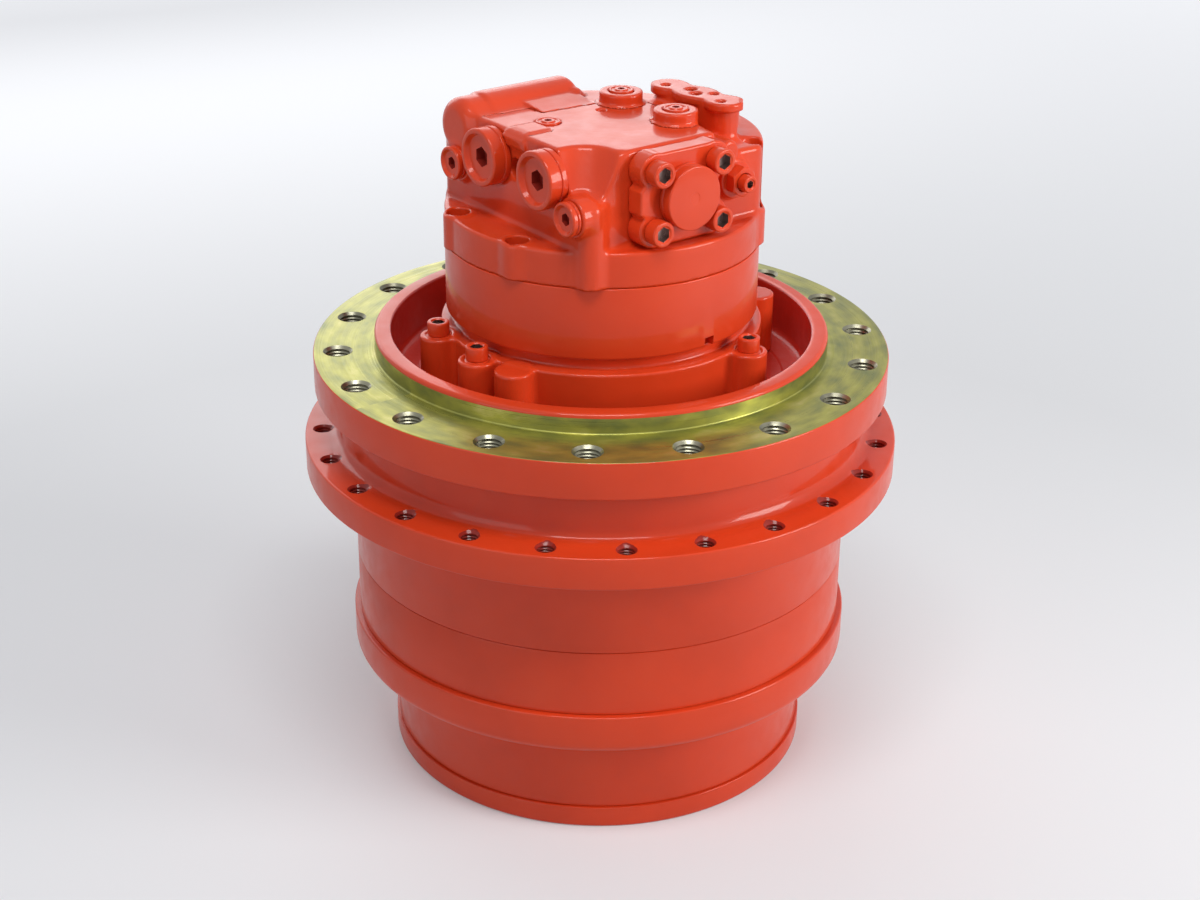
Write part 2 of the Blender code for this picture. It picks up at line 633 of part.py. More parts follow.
def build_hub(body):
    spigot_radius = RING_1_TIP - SEAT_GAP
    cover = Shape().turned(
        [
            (0, COVER_RECESS_DEPTH),
            (COVER_RECESS_RADIUS, COVER_RECESS_DEPTH),
            (COVER_RECESS_RADIUS, 0),
            (COVER_RADIUS - EDGE, 0),
            (COVER_RADIUS, EDGE),
            (COVER_RADIUS, COVER_TOP),
            (spigot_radius, COVER_TOP),
            (spigot_radius, COVER_INNER_TOP),
            (0, COVER_INNER_TOP),
        ],
        HUB_FACETS,
    )
    plug_bore = COVER_PLUG_RADIUS + SEAT_GAP
    span = (-CUT_OVERRUN, COVER_INNER_TOP + CUT_OVERRUN)
    plug_holes = holes(plug_bore, COVER_PLUG_CIRCLE, COVER_PLUG_ANGLES, *span, SMALL_FACETS)
    piece("end_cover", cover, ENAMEL, body, cuts=[plug_holes])
    for number, angle in enumerate(COVER_PLUG_ANGLES, 1):
        plug = Shape().rod(COVER_PLUG_RADIUS, COVER_RECESS_DEPTH, COVER_INNER_TOP, SMALL_FACETS)
        socket = Shape().prism(hex_outline(COVER_PLUG_RADIUS), 0, 2 * COVER_RECESS_DEPTH)
        place = Matrix.Translation(polar(COVER_PLUG_CIRCLE, angle))
        piece(f"cover_plug_{number}", plug, DARK_STEEL, body, place, cuts=[socket])

    case = Shape().turned(
        [
            (LOWER_CASE_RADIUS, CASE_BOTTOM),
            (LOWER_CASE_RADIUS, STEP_HEIGHT),
            (RIM_RADIUS - RIM_ROUND, STEP_HEIGHT),
            (RIM_RADIUS, STEP_HEIGHT + RIM_ROUND),
            (RIM_RADIUS, RIM_TOP),
            (CARRIER_ROOM_RADIUS, RIM_TOP),
            (CARRIER_ROOM_RADIUS, CARRIER_2_BOTTOM - EDGE),
            (RING_1_TIP - EDGE, CARRIER_2_BOTTOM - EDGE),
            (RING_1_TIP - EDGE, CASE_BOTTOM),
        ],
        HUB_FACETS,
    )
    broached = gear_outline(RING_1_TEETH, MODULE_1, 0, internal=True)
    teeth = Shape().prism(broached, CASE_BOTTOM - CUT_OVERRUN, CARRIER_2_BOTTOM + CUT_OVERRUN)
    piece("ring_gear_1", case, ENAMEL, body, cuts=[teeth])

    outlines = [circle(HUB_RADIUS, HUB_FACETS), gear_outline(RING_2_TEETH, MODULE_2, 0, internal=True)]
    piece("ring_gear_2", Shape().plate(outlines, RING_2_BOTTOM, RING_2_TOP), ENAMEL, body)

    bearing_bore = clear_bore(BEARING_OUTER_RADIUS, HUB_FACETS)
    housing = Shape().turned(
        [
            (HUB_RADIUS, HUB_BOTTOM),
            (HUB_RADIUS, SPROCKET_FACE - FLANGE_FILLET),
            (HUB_RADIUS + FLANGE_FILLET, SPROCKET_FACE),
            (SPROCKET_FLANGE_RADIUS, SPROCKET_FACE),
            (SPROCKET_FLANGE_RADIUS, SPROCKET_TOP),
            (NECK_ROOT_RADIUS, SPROCKET_TOP),
            (NECK_RADIUS, SPROCKET_TOP + NECK_ROOT_HEIGHT),
            (NECK_RADIUS, NECK_TOP),
            (SEAL_BORE_RADIUS, NECK_TOP),
            (SEAL_BORE_RADIUS, SEAL_BOTTOM - SEAT_GAP),
            (bearing_bore, SEAL_BOTTOM - SEAT_GAP),
            (bearing_bore, UPPER_BEARING - SEAT_GAP),
            (BEARING_SHOULDER_RADIUS, UPPER_BEARING - SEAT_GAP),
            (BEARING_SHOULDER_RADIUS, LOWER_BEARING_TOP + SEAT_GAP),
            (bearing_bore, LOWER_BEARING_TOP + SEAT_GAP),
            (bearing_bore, HUB_BOTTOM),
        ],
        HUB_FACETS,
    )
    angles = [SPROCKET_HOLE_START + 360 * k / SPROCKET_HOLE_COUNT for k in range(SPROCKET_HOLE_COUNT)]
    span = (SPROCKET_FACE - CUT_OVERRUN, SPROCKET_TOP + CUT_OVERRUN)
    bolt_holes = holes(SPROCKET_HOLE_RADIUS, SPROCKET_HOLE_CIRCLE, angles, *span, SHANK_FACETS)
    piece("hub_housing", housing, ENAMEL, body, cuts=[bolt_holes])

    outer = SEAL_BORE_RADIUS - SEAT_GAP
    seal = seal_profile(clear_bore(SPINDLE_SEAL_RADIUS, INNER_FACETS), outer, SEAL_BOTTOM, LOWER_SEAL_TOP)
    piece("seal_ring_lower", Shape().turned(seal, INNER_FACETS), DARK_STEEL, body)
    washer_top = WASHER_BOTTOM + THRUST_WASHER_HEIGHT
    washer = ring_profile(SHAFT_RADIUS, THRUST_WASHER_RADIUS, WASHER_BOTTOM, washer_top)
    piece("thrust_washer", Shape().turned(washer, SMALL_FACETS), BRONZE, body)


def ring_profile(inner, outer, bottom, top):
    """Plain ring."""
    return [(outer, bottom), (outer, top), (inner, top), (inner, bottom)]


def seal_profile(inner, outer, bottom, top):
    """Metal face-seal ring whose outer side leans in towards the bottom, for its rubber toric."""
    return [(outer - SEAL_LEAN, bottom), (outer, top), (inner, top), (inner, bottom)]


# Spindle and what is fixed to it


def build_spindle():
    under = UPPER_SEAL_TOP + SEAT_GAP
    bearing_stop = UPPER_BEARING_TOP + SEAT_GAP
    web = SPIGOT_FLOOR - SPINDLE_WEB
    outside = Shape().turned(
        [
            (0, SPINDLE_BOTTOM),
            (SPINDLE_RADIUS, SPINDLE_BOTTOM),
            (SPINDLE_RADIUS, bearing_stop),
            (BEARING_STOP_RADIUS, bearing_stop),
            (SPINDLE_SEAL_RADIUS, SEAL_BOTTOM),
            (SPINDLE_SEAL_RADIUS, under),
            (FRAME_HUB_RADIUS, under),
            (FRAME_HUB_RADIUS, FRAME_FACE_BOTTOM),
            (FRAME_FLANGE_RADIUS, FRAME_FACE_BOTTOM),
            (FRAME_FLANGE_RADIUS, FRAME_FACE),
            (PILOT_RADIUS, FRAME_FACE),
            (PILOT_RADIUS, PILOT_TOP),
            (POCKET_RADIUS, PILOT_TOP),
            (POCKET_RADIUS, POCKET_FLOOR),
            (0, POCKET_FLOOR),
        ],
        HUB_FACETS,
    )
    inside = Shape().turned(
        [
            (0, POCKET_FLOOR + CUT_OVERRUN),
            (SPIGOT_RADIUS, POCKET_FLOOR + CUT_OVERRUN),
            (SPIGOT_RADIUS, SPIGOT_FLOOR),
            (SHAFT_PASSAGE_RADIUS, SPIGOT_FLOOR),
            (SHAFT_PASSAGE_RADIUS, web),
            (SPINDLE_BORE_RADIUS, web),
            (SPINDLE_BORE_RADIUS, SPINDLE_COLLAR),
            (CARRIER_SEAT_RADIUS, SPINDLE_COLLAR),
            (CARRIER_SEAT_RADIUS, SPINDLE_BOTTOM - CUT_OVERRUN),
            (0, SPINDLE_BOTTOM - CUT_OVERRUN),
        ],
        INNER_FACETS,
    )
    angles = [FRAME_HOLE_START + 360 * k / FRAME_HOLE_COUNT for k in range(FRAME_HOLE_COUNT)]
    span = (FRAME_FACE_BOTTOM - CUT_OVERRUN, FRAME_FACE + CUT_OVERRUN)
    frame_holes = holes(FRAME_HOLE_RADIUS, FRAME_HOLE_CIRCLE, angles, *span)
    piece("spindle_housing", outside, ENAMEL, cuts=[inside, frame_holes])

    inner = clear_bore(SPINDLE_RADIUS, INNER_FACETS)
    nut = Shape().turned(ring_profile(inner, NUT_RADIUS, NUT_BOTTOM, NUT_BOTTOM + NUT_HEIGHT), INNER_FACETS)
    angles = [360 * k / NUT_SLOTS for k in range(NUT_SLOTS)]
    slots = holes(NUT_SLOT_RADIUS, NUT_RADIUS, angles, 0, HEAD_TOP, SLOT_FACETS)
    piece("bearing_nut", nut, DARK_STEEL, cuts=[slots])
    for name, bottom in (("main_bearing_lower", LOWER_BEARING), ("main_bearing_upper", UPPER_BEARING)):
        ring = ring_profile(inner, BEARING_OUTER_RADIUS, bottom, bottom + BEARING_HEIGHT)
        piece(name, Shape().turned(ring, INNER_FACETS), BARE_STEEL)

    inner = clear_bore(SPINDLE_SEAL_RADIUS, INNER_FACETS)
    outer = SEAL_BORE_RADIUS * cos(pi / HUB_FACETS) - 2 * SEAT_GAP
    seal = seal_profile(inner, outer, UPPER_SEAL_TOP, UPPER_SEAL_BOTTOM)
    piece("seal_ring_upper", Shape().turned(seal, INNER_FACETS), DARK_STEEL)


def build_carrier_2():
    """Fixed carrier: its flange seats in the spindle, and its three pins carry the second-stage planets."""
    flange = CARRIER_SEAT_RADIUS - SEAT_GAP
    bore = (SUN_2_TEETH / 2 + ADDENDUM) * MODULE_2 + SUN_2_ROOM
    top = Shape().turned(
        ring_profile(SHAFT_PASSAGE_RADIUS, flange, CARRIER_2_FLANGE_BOTTOM, CARRIER_2_TOP), INNER_FACETS
    )
    plate = Shape().turned(
        ring_profile(bore, CARRIER_2_RADIUS, CARRIER_2_BOTTOM, CARRIER_2_PLATE_TOP), INNER_FACETS
    )
    span = (CARRIER_2_PLATE_TOP - EDGE, CARRIER_2_FLANGE_BOTTOM + EDGE)
    pins = holes(PIN_2_RADIUS, PLANET_2_CIRCLE, PLANET_ANGLES, *span, SMALL_FACETS)
    webs = holes(CARRIER_2_WEB_RADIUS, CARRIER_2_WEB_CIRCLE, WEB_ANGLES, *span)
    piece("carrier_2", plate, BARE_STEEL, joins=[pins, webs, top])


def build_carrier_1(body):
    """Turning carrier: it drives the second-stage sun and carries the first-stage planets."""
    seat = clear_bore(SUN_2_JOURNAL_RADIUS, INNER_FACETS)
    lip = CARRIER_1_HUB_BOTTOM + EDGE
    hub = Shape().turned(
        [
            (CARRIER_1_RADIUS, CARRIER_1_HUB_BOTTOM),
            (CARRIER_1_RADIUS, CARRIER_1_TOP - CARRIER_1_TAPER),
            (seat + CARRIER_1_HUB, CARRIER_1_TOP),
            (seat, CARRIER_1_TOP),
            (seat, lip),
            (SUN_2_BORE_RADIUS, lip),
            (SUN_2_BORE_RADIUS, CARRIER_1_HUB_BOTTOM),
        ],
        INNER_FACETS,
    )
    plate_top = CARRIER_1_BOTTOM + CARRIER_1_PLATE
    plate = Shape().turned(
        ring_profile(SHAFT_RADIUS, CARRIER_1_RADIUS, CARRIER_1_BOTTOM, plate_top), INNER_FACETS
    )
    span = (plate_top - EDGE, CARRIER_1_HUB_BOTTOM + EDGE)
    pins = holes(PIN_1_RADIUS, PLANET_1_CIRCLE, PLANET_ANGLES, *span, SMALL_FACETS)
    webs = holes(CARRIER_1_WEB_RADIUS, CARRIER_1_WEB_CIRCLE, WEB_ANGLES, *span)
    piece("carrier_1", plate, BARE_STEEL, body, joins=[pins, webs, hub])

    turn = sun_turn(0, RING_2_TEETH, PLANET_2_TEETH, SUN_2_TEETH)
    bore = circle(SUN_2_BORE_RADIUS, SMALL_FACETS)
    gear = Shape().plate([gear_outline(SUN_2_TEETH, MODULE_2, turn), bore], PLANET_2_BOTTOM, PLANET_2_TOP)
    journal = [circle(SUN_2_JOURNAL_RADIUS, SMALL_FACETS), bore]
    joins = [Shape().plate(journal, lip + SEAT_GAP, PLANET_2_BOTTOM + EDGE)]
    piece("sun_gear_2", gear, GEAR_STEEL, body, joins=joins)


def build_planets(stage, module, teeth, ring_teeth, pitch_circle, pin_radius, bottom, top, parent=None):
    """Three planets, each on its own pivot, in mesh with the ring."""
    for number, angle in enumerate(PLANET_ANGLES, 1):
        turn = planet_turn(radians(angle), ring_teeth, teeth)
        bore = clear_bore(pin_radius, SMALL_FACETS)
        outlines = [gear_outline(teeth, module, turn), circle(bore, SMALL_FACETS)]
        name = f"planet_{stage}_{number}"
        axis = pivot(f"{name}_axis", polar(pitch_circle, angle), parent)
        planet = piece(name, Shape().plate(outlines, bottom, top), GEAR_STEEL)
        planet.parent = axis


# Motor


def build_motor_flange():
    spigot = SPIGOT_RADIUS * cos(pi / INNER_FACETS) - SEAT_GAP
    spigot_bottom = SPIGOT_FLOOR + SEAT_GAP
    floor_top = MOTOR_BOTTOM + MOTOR_FLOOR
    flange = Shape().turned(
        [
            (0, spigot_bottom),
            (spigot, spigot_bottom),
            (spigot, MOTOR_BOTTOM),
            (MOTOR_FLANGE_RADIUS, MOTOR_BOTTOM),
            (MOTOR_FLANGE_RADIUS, MOTOR_FLANGE_TOP),
            (MOTOR_NECK_RADIUS, MOTOR_FLANGE_TOP + (MOTOR_FLANGE_RADIUS - MOTOR_NECK_RADIUS) / 2),
            (MOTOR_NECK_RADIUS, MOTOR_NECK_TOP),
            (0, MOTOR_NECK_TOP),
        ],
        CASING_FACETS,
    )
    lobes = holes(FLANGE_LOBE_RADIUS, FLANGE_LOBE_CIRCLE, FLANGE_LOBE_ANGLES, MOTOR_BOTTOM, MOTOR_FLANGE_TOP)
    room = Shape().turned(
        [
            (0, MOTOR_NECK_TOP + CUT_OVERRUN),
            (MOTOR_BORE_RADIUS, MOTOR_NECK_TOP + CUT_OVERRUN),
            (MOTOR_BORE_RADIUS, floor_top),
            (FRONT_BEARING_RADIUS + SEAT_GAP, floor_top),
            (FRONT_BEARING_RADIUS + SEAT_GAP, FRONT_BEARING_BOTTOM - SEAT_GAP),
            (SHAFT_EXIT_RADIUS, FRONT_BEARING_BOTTOM - SEAT_GAP),
            (SHAFT_EXIT_RADIUS, spigot_bottom - CUT_OVERRUN),
            (0, spigot_bottom - CUT_OVERRUN),
        ],
        INNER_FACETS,
    )
    reach = SWASH_PAD_INNER + SWASH_PAD_WIDTH
    seat_radius = clear_bore(SWASH_BACK_RADIUS, INNER_FACETS)
    seat_place = Matrix.Translation((0, 0, SWASH_PIVOT)) @ facing((1, 0, 0))
    flange_obj = piece("motor_flange", flange, ENAMEL, joins=[lobes], cuts=[room])
    for side in (-1, 1):
        ends = sorted((side * SWASH_PAD_INNER, side * reach))
        outline = [(x, y) for x in ends for y in (-CRADLE_DEPTH, CRADLE_DEPTH)]
        outline = [outline[0], outline[2], outline[3], outline[1]]
        combine(flange_obj, Shape().prism(outline, floor_top - EDGE, SWASH_PIVOT - CRADLE_DROP), "UNION")
    seat = Shape().rod(seat_radius, -reach - EDGE, reach + EDGE, INNER_FACETS, seat_place)
    combine(flange_obj, seat, "DIFFERENCE")
    span = (MOTOR_BOTTOM - CUT_OVERRUN, MOTOR_FLANGE_TOP + CUT_OVERRUN)
    bolt_holes = holes(
        FLANGE_BOLT_SHANK + SEAT_GAP, FLANGE_LOBE_CIRCLE, FLANGE_BOLT_ANGLES, *span, SHANK_FACETS
    )
    combine(flange_obj, bolt_holes, "DIFFERENCE")
    for number, angle in enumerate(FLANGE_BOLT_ANGLES, 1):
        bolt = screw(FLANGE_BOLT_RADIUS, FLANGE_BOLT_HEIGHT, FLANGE_BOLT_SHANK, FLANGE_BOLT_LENGTH)
        place = Matrix.Translation(polar(FLANGE_LOBE_CIRCLE, angle, MOTOR_FLANGE_TOP + SEAT_GAP))
        piece(f"motor_flange_bolt_{number}", bolt, ENAMEL, None, place)


def screw(head_radius, head_height, shank_radius, length):
    """Cap screw with the underside of its head on z = 0. Its socket is left to finer work."""
    head = Shape().rod(head_radius, 0, head_height, SMALL_FACETS)
    return head.step(circle(shank_radius, SHANK_FACETS), -length)


def build_casing():
    shoulder = CASING_BOTTOM + BRAKE_SHOULDER_HEIGHT
    casing = Shape().turned(
        [
            (CASING_RADIUS, CASING_BOTTOM),
            (CASING_RADIUS, CASING_TOP),
            (CASING_BORE_RADIUS, CASING_TOP),
            (CASING_BORE_RADIUS, shoulder),
            (BRAKE_SHOULDER_RADIUS, shoulder),
            (BRAKE_SHOULDER_RADIUS, CASING_BOTTOM),
        ],
        CASING_FACETS,
    )
    notch_place = Matrix.Translation(polar(CASING_RADIUS, NOTCH_ANGLE, CASING_BOTTOM))
    notch_place @= Matrix.Rotation(radians(NOTCH_ANGLE), 4, "Z")
    half = NOTCH_WIDTH / 2
    outline = [(-NOTCH_DEPTH, -half), (NOTCH_DEPTH, -half), (NOTCH_DEPTH, half), (-NOTCH_DEPTH, half)]
    notch = Shape().prism(outline, -NOTCH_HEIGHT, NOTCH_HEIGHT, notch_place)
    span = (HEAD_BOLT_SEAT - HEAD_BOLT_LENGTH - SEAT_GAP, LEDGE)
    bolt_holes = holes(HEAD_BOLT_SHANK + SEAT_GAP, HEAD_BOLT_CIRCLE, HEAD_BOLT_ANGLES, *span, SHANK_FACETS)
    piece("motor_casing", casing, ENAMEL, cuts=[notch, bolt_holes])
    front = (FRONT_BEARING_RADIUS, FRONT_BEARING_BOTTOM, FRONT_BEARING_HEIGHT)
    build_shaft_bearing("front_shaft_bearing", *front)


def build_shaft_bearing(name, outer, bottom, height):
    inner = clear_bore(SHAFT_RADIUS, INNER_FACETS)
    piece(name, Shape().turned(ring_profile(inner, outer, bottom, bottom + height), INNER_FACETS), BARE_STEEL)


def build_rotating_group(body):
    stub = SUN_1_BORE_RADIUS * cos(pi / SMALL_FACETS) - SEAT_GAP
    shaft = Shape().turned(
        [
            (0, PLANET_1_BOTTOM),
            (stub, PLANET_1_BOTTOM),
            (stub, PLANET_1_TOP + SEAT_GAP),
            (SHAFT_RADIUS, PLANET_1_TOP + SEAT_GAP),
            (SHAFT_RADIUS, SHAFT_TOP),
            (0, SHAFT_TOP),
        ],
        SMALL_FACETS,
    )
    piece("drive_shaft", shaft, BARE_STEEL, body)
    turn = sun_turn(0, RING_1_TEETH, PLANET_1_TEETH, SUN_1_TEETH)
    outlines = [gear_outline(SUN_1_TEETH, MODULE_1, turn), circle(SUN_1_BORE_RADIUS, SMALL_FACETS)]
    piece("sun_gear_1", Shape().plate(outlines, PLANET_1_BOTTOM, PLANET_1_TOP), GEAR_STEEL, body)

    angles = [360 * k / BLOCK_PISTONS for k in range(BLOCK_PISTONS)]
    shaft_bore = clear_bore(SHAFT_RADIUS, INNER_FACETS)
    block = Shape().turned(ring_profile(shaft_bore, BLOCK_RADIUS, BLOCK_BOTTOM, BLOCK_TOP), INNER_FACETS)
    span = (BLOCK_BOTTOM - CUT_OVERRUN, BLOCK_TOP - BLOCK_END)
    bores = holes(PISTON_RADIUS + SEAT_GAP, PISTON_CIRCLE, angles, *span, SHANK_FACETS)
    piece("cylinder_block", block, BARE_STEEL, body, cuts=[bores])

    top = RETAINER_BOTTOM + RETAINER_HEIGHT
    retainer = ring_profile(SWASH_HOLE_RADIUS, RETAINER_RADIUS, RETAINER_BOTTOM, top)
    span = (RETAINER_BOTTOM + SEAT_GAP, top + PISTON_LENGTH)
    pistons = holes(PISTON_RADIUS, PISTON_CIRCLE, angles, *span, SHANK_FACETS)
    piece("pistons_and_retainer", Shape().turned(retainer, INNER_FACETS), BRONZE, body, joins=[pistons])
    disc = ring_profile(
        clear_bore(BLOCK_RADIUS, INNER_FACETS),
        CASING_BORE_RADIUS * cos(pi / CASING_FACETS) - SEAT_GAP,
        BRAKE_DISC_BOTTOM,
        BRAKE_DISC_BOTTOM + BRAKE_DISC_HEIGHT,
    )
    piece("brake_disc", Shape().turned(disc, INNER_FACETS), DARK_STEEL, body)


def build_brake_swash_valve(brake_body, swash_body):
    outer = CASING_BORE_RADIUS * cos(pi / CASING_FACETS) - SEAT_GAP
    top = BRAKE_PISTON_BOTTOM + BRAKE_PISTON_HEIGHT
    piston = ring_profile(BRAKE_PISTON_BORE, outer, BRAKE_PISTON_BOTTOM, top)
    piece("brake_piston", Shape().turned(piston, INNER_FACETS), DARK_STEEL, brake_body)

    shaft_bore = clear_bore(SHAFT_RADIUS, INNER_FACETS)
    plate = ring_profile(shaft_bore, VALVE_PLATE_RADIUS, VALVE_PLATE_BOTTOM, CASING_TOP)
    span = (VALVE_PLATE_BOTTOM - CUT_OVERRUN, HEAD_TOP)
    ports = holes(VALVE_PORT_RADIUS, PISTON_CIRCLE, (0, 180), *span)
    piece("valve_plate", Shape().turned(plate, INNER_FACETS), BRONZE, cuts=[ports])

    disc = ring_profile(SWASH_HOLE_RADIUS, SWASH_RADIUS, SWASH_FACE_LIFT - SWASH_THICKNESS, SWASH_FACE_LIFT)
    turns = [radians(angle) for angle in range(-SWASH_BACK_REACH, SWASH_BACK_REACH + 1, SWASH_BACK_STEP)]
    outline = [(SWASH_BACK_RADIUS * sin(turn), -SWASH_BACK_RADIUS * cos(turn)) for turn in turns]
    outline += [(outline[-1][0], -SWASH_FACE_LIFT), (outline[0][0], -SWASH_FACE_LIFT)]
    backs = []
    for side in (-1, 1):
        ends = sorted((side * SWASH_PAD_INNER, side * (SWASH_PAD_INNER + SWASH_PAD_WIDTH)))
        backs.append(Shape().loft([[(x, y, z) for y, z in outline] for x in ends]))
    swash = piece("swash_plate", Shape().turned(disc, INNER_FACETS), GEAR_STEEL, joins=backs)
    swash.parent = swash_body
    swash.matrix_local = Matrix.Rotation(radians(SWASH_TILT), 4, "X")


# Head


def head_radius(angle, height):
    """Distance from the axis to the head's side: a round wall cut by flats that lean in towards the top."""
    corner = abs(angle - HEAD_CORNER_ANGLE) < HEAD_CORNER_SPAN
    radius = HEAD_CORNER_REACH if corner else CASING_RADIUS - SEAT_GAP
    for facing_angle, low, high, start in HEAD_FLATS:
        lean = min(1.0, max(0.0, (height - start) / (HEAD_TOP - start)))
        share = cos(radians(angle - facing_angle))
        if share > FLAT_SHARE:
            radius = min(radius, (low + (high - low) * lean) / share)
    return radius


def build_head():
    port_edge = degrees(acos(-PORT_FACE_X / CASING_RADIUS))
    cap_edge = degrees(acos(-CAP_FACE_Y / CASING_RADIUS))
    corners = {180 - port_edge, port_edge - 180, cap_edge - 90, -90 - cap_edge}
    angles = sorted({*range(-180, 180, HEAD_STEP), *corners, *HEAD_CORNER_EDGES})
    levels = [LEDGE, CORNER_LEAN, SHOULDER_LEAN, (SHOULDER_LEAN + HEAD_TOP) / 2, HEAD_TOP - HEAD_EDGE_ROUND]
    loops = [[polar(CASING_RADIUS, angle, z) for angle in angles] for z in (HEAD_BOTTOM, LEDGE)]
    loops += [[polar(head_radius(angle, z), angle, z) for angle in angles] for z in levels]
    loops.append([polar(head_radius(angle, HEAD_TOP) - HEAD_EDGE_ROUND, angle, HEAD_TOP) for angle in angles])
    head = Shape().loft(loops)

    lugs = holes(HEAD_LUG_RADIUS, HEAD_BOLT_CIRCLE, HEAD_BOLT_ANGLES, HEAD_BOTTOM, LEDGE, SMALL_FACETS)
    column = holes(
        CORNER_LUG_RADIUS, CORNER_LUG_CIRCLE, [HEAD_CORNER_ANGLE], HEAD_BOTTOM, CORNER_LEAN, SMALL_FACETS
    )
    bulge_place = Matrix.Translation((BULGE_START, BULGE_Y, HEAD_TOP - BULGE_DROP)) @ facing((1, 0, 0))
    profile = [(BULGE_RADIUS * wide, BULGE_LENGTH * along) for wide, along in BULGE_SHAPE]
    bulge = Shape().turned([(0, 0), *profile, (0, BULGE_LENGTH)], SMALL_FACETS, bulge_place)
    bosses = [
        Shape().rod(BOSS_RADIUS, LEDGE, HEAD_TOP + BOSS_RISE, SMALL_FACETS, Matrix.Translation((x, y, 0)))
        for x, y in BOSS_PLACES
    ]
    side_bosses = [
        Shape().rod(SIDE_PLUG_RADIUS + PLUG_BOSS_MARGIN, -CUT_OVERRUN, PLUG_BOSS_HEIGHT, SMALL_FACETS, place)
        for place in port_places(SIDE_PLUG_PLACES)
    ]
    high, low = HEAD_TOP + RAMP_RISE, HEAD_TOP + RAMP_FOOT
    crest = [(*p, high) for p in RAMP_BACK] + [(*p, low) for p in RAMP_FRONT] + [(*RAMP_END, high)]
    ramp = Shape().loft([[(x, y, HEAD_TOP - EDGE) for x, y, _ in crest], crest])
    at_adjuster = adjuster_place()
    span = (-CUT_OVERRUN, ADJUSTER_BOSS_HEIGHT)
    adjuster = Shape().rod(ADJUSTER_BOSS_RADIUS, *span, SMALL_FACETS, at_adjuster)
    joins = [lugs, column, bulge, ramp, *bosses, *side_bosses, adjuster, *pad_shapes()]

    bearing_bore = clear_bore(REAR_BEARING_RADIUS, INNER_FACETS)
    cuts = [Shape().rod(bearing_bore, 0, SHAFT_TOP + EDGE, INNER_FACETS)]
    for radius, places in ((PORT_PLUG_RADIUS, PORT_PLUG_PLACES), (SIDE_PLUG_RADIUS, SIDE_PLUG_PLACES)):
        bore = radius * PLUG_SHANK_SHARE + SEAT_GAP
        depth = -PLUG_SHANK_LENGTH - SPOT_FACE_DEPTH - SEAT_GAP
        cuts += [Shape().rod(bore, depth, CUT_OVERRUN, SMALL_FACETS, place) for place in port_places(places)]
    spot_face = PORT_PLUG_RADIUS + SPOT_FACE_MARGIN
    for place in port_places(PORT_PLUG_PLACES):
        cuts.append(Shape().rod(spot_face, -SPOT_FACE_DEPTH, CUT_OVERRUN, SMALL_FACETS, place))
    spool_bore = SPOOL_RADIUS + SEAT_GAP
    spool_end = -SPOOL_LENGTH - 2 * SPOOL_STROKE - SPOOL_END_ROOM
    cuts.append(Shape().rod(spool_bore, spool_end, CUT_OVERRUN, SMALL_FACETS, cap_place()))
    screw_bore = CAP_SCREW_SHANK + SEAT_GAP
    depth = CAP_THICKNESS - CAP_SCREW_LENGTH
    cuts += [Shape().rod(screw_bore, depth, CUT_OVERRUN, SHANK_FACETS, place) for place in cap_screw_places()]
    bore = ADJUSTER_SCREW_RADIUS + SEAT_GAP
    cuts.append(Shape().rod(bore, -PLUG_SHANK_LENGTH, 2 * CUT_OVERRUN, SHANK_FACETS, at_adjuster))
    bore = GAUGE_PLUG_RADIUS + SEAT_GAP
    for place in gauge_plug_places():
        cuts.append(Shape().rod(bore, -GAUGE_PLUG_SEAT, CUT_OVERRUN, HOLE_FACETS, place))
    top = LEDGE + CUT_OVERRUN
    sunk = (HEAD_BOLT_SEAT, top, SMALL_FACETS)
    through = (0, top, SHANK_FACETS)
    for radius, span in ((HEAD_BOLT_RADIUS, sunk), (HEAD_BOLT_SHANK, through)):
        cuts.append(holes(radius + SEAT_GAP, HEAD_BOLT_CIRCLE, HEAD_BOLT_ANGLES, *span))
    piece("rear_head", head, ENAMEL, joins=joins, cuts=cuts)

    for number, angle in enumerate(HEAD_BOLT_ANGLES, 1):
        bolt = screw(HEAD_BOLT_RADIUS, HEAD_BOLT_HEIGHT, HEAD_BOLT_SHANK, HEAD_BOLT_LENGTH)
        place = Matrix.Translation(polar(HEAD_BOLT_CIRCLE, angle, HEAD_BOLT_SEAT + SEAT_GAP))
        piece(f"head_bolt_{number}", bolt, DARK_STEEL, None, place)
    build_shaft_bearing("rear_shaft_bearing", REAR_BEARING_RADIUS, HEAD_BOTTOM, REAR_BEARING_HEIGHT)


def pad_shapes():
    """Raised two-lobed pad and the waisted neck that it stands on."""
    outline = []
    for side, start in ((-1, 45), (1, -135)):
        for k in range(PAD_LOBE_POINTS):
            angle = radians(start + 270 * k / (PAD_LOBE_POINTS - 1))
            across = side * PAD_LOBE_SPACING / 2 + PAD_LOBE_RADIUS * cos(angle)
            outline.append((across, PAD_LOBE_RADIUS * sin(angle)))
    place = Matrix.Translation((*PAD_CENTRE, 0)) @ Matrix.Rotation(radians(PAD_ANGLE), 4, "Z")
    under = HEAD_TOP + PAD_RISE - PAD_THICKNESS
    foot = SHOULDER_LEAN + PAD_RISE
    neck = ((1, SHOULDER_LEAN), (1, foot), (PAD_WAIST, HEAD_TOP), (PAD_WAIST, under + EDGE))
    loops = [[(x * share, y * share, z) for x, y in outline] for share, z in neck]
    return [Shape().loft(loops, place), Shape().prism(outline, under, HEAD_TOP + PAD_RISE, place)]


# Places on the head: the outer face of each is at z = 0 of its own frame


def port_places(places):
    return [Matrix.Translation((PORT_FACE_X, y, LEDGE + lift)) @ facing((-1, 0, 0)) for y, lift in places]


def cap_place():
    return Matrix.Translation((CAP_X, CAP_FACE_Y, LEDGE + CAP_LIFT)) @ facing((0, -1, 0))


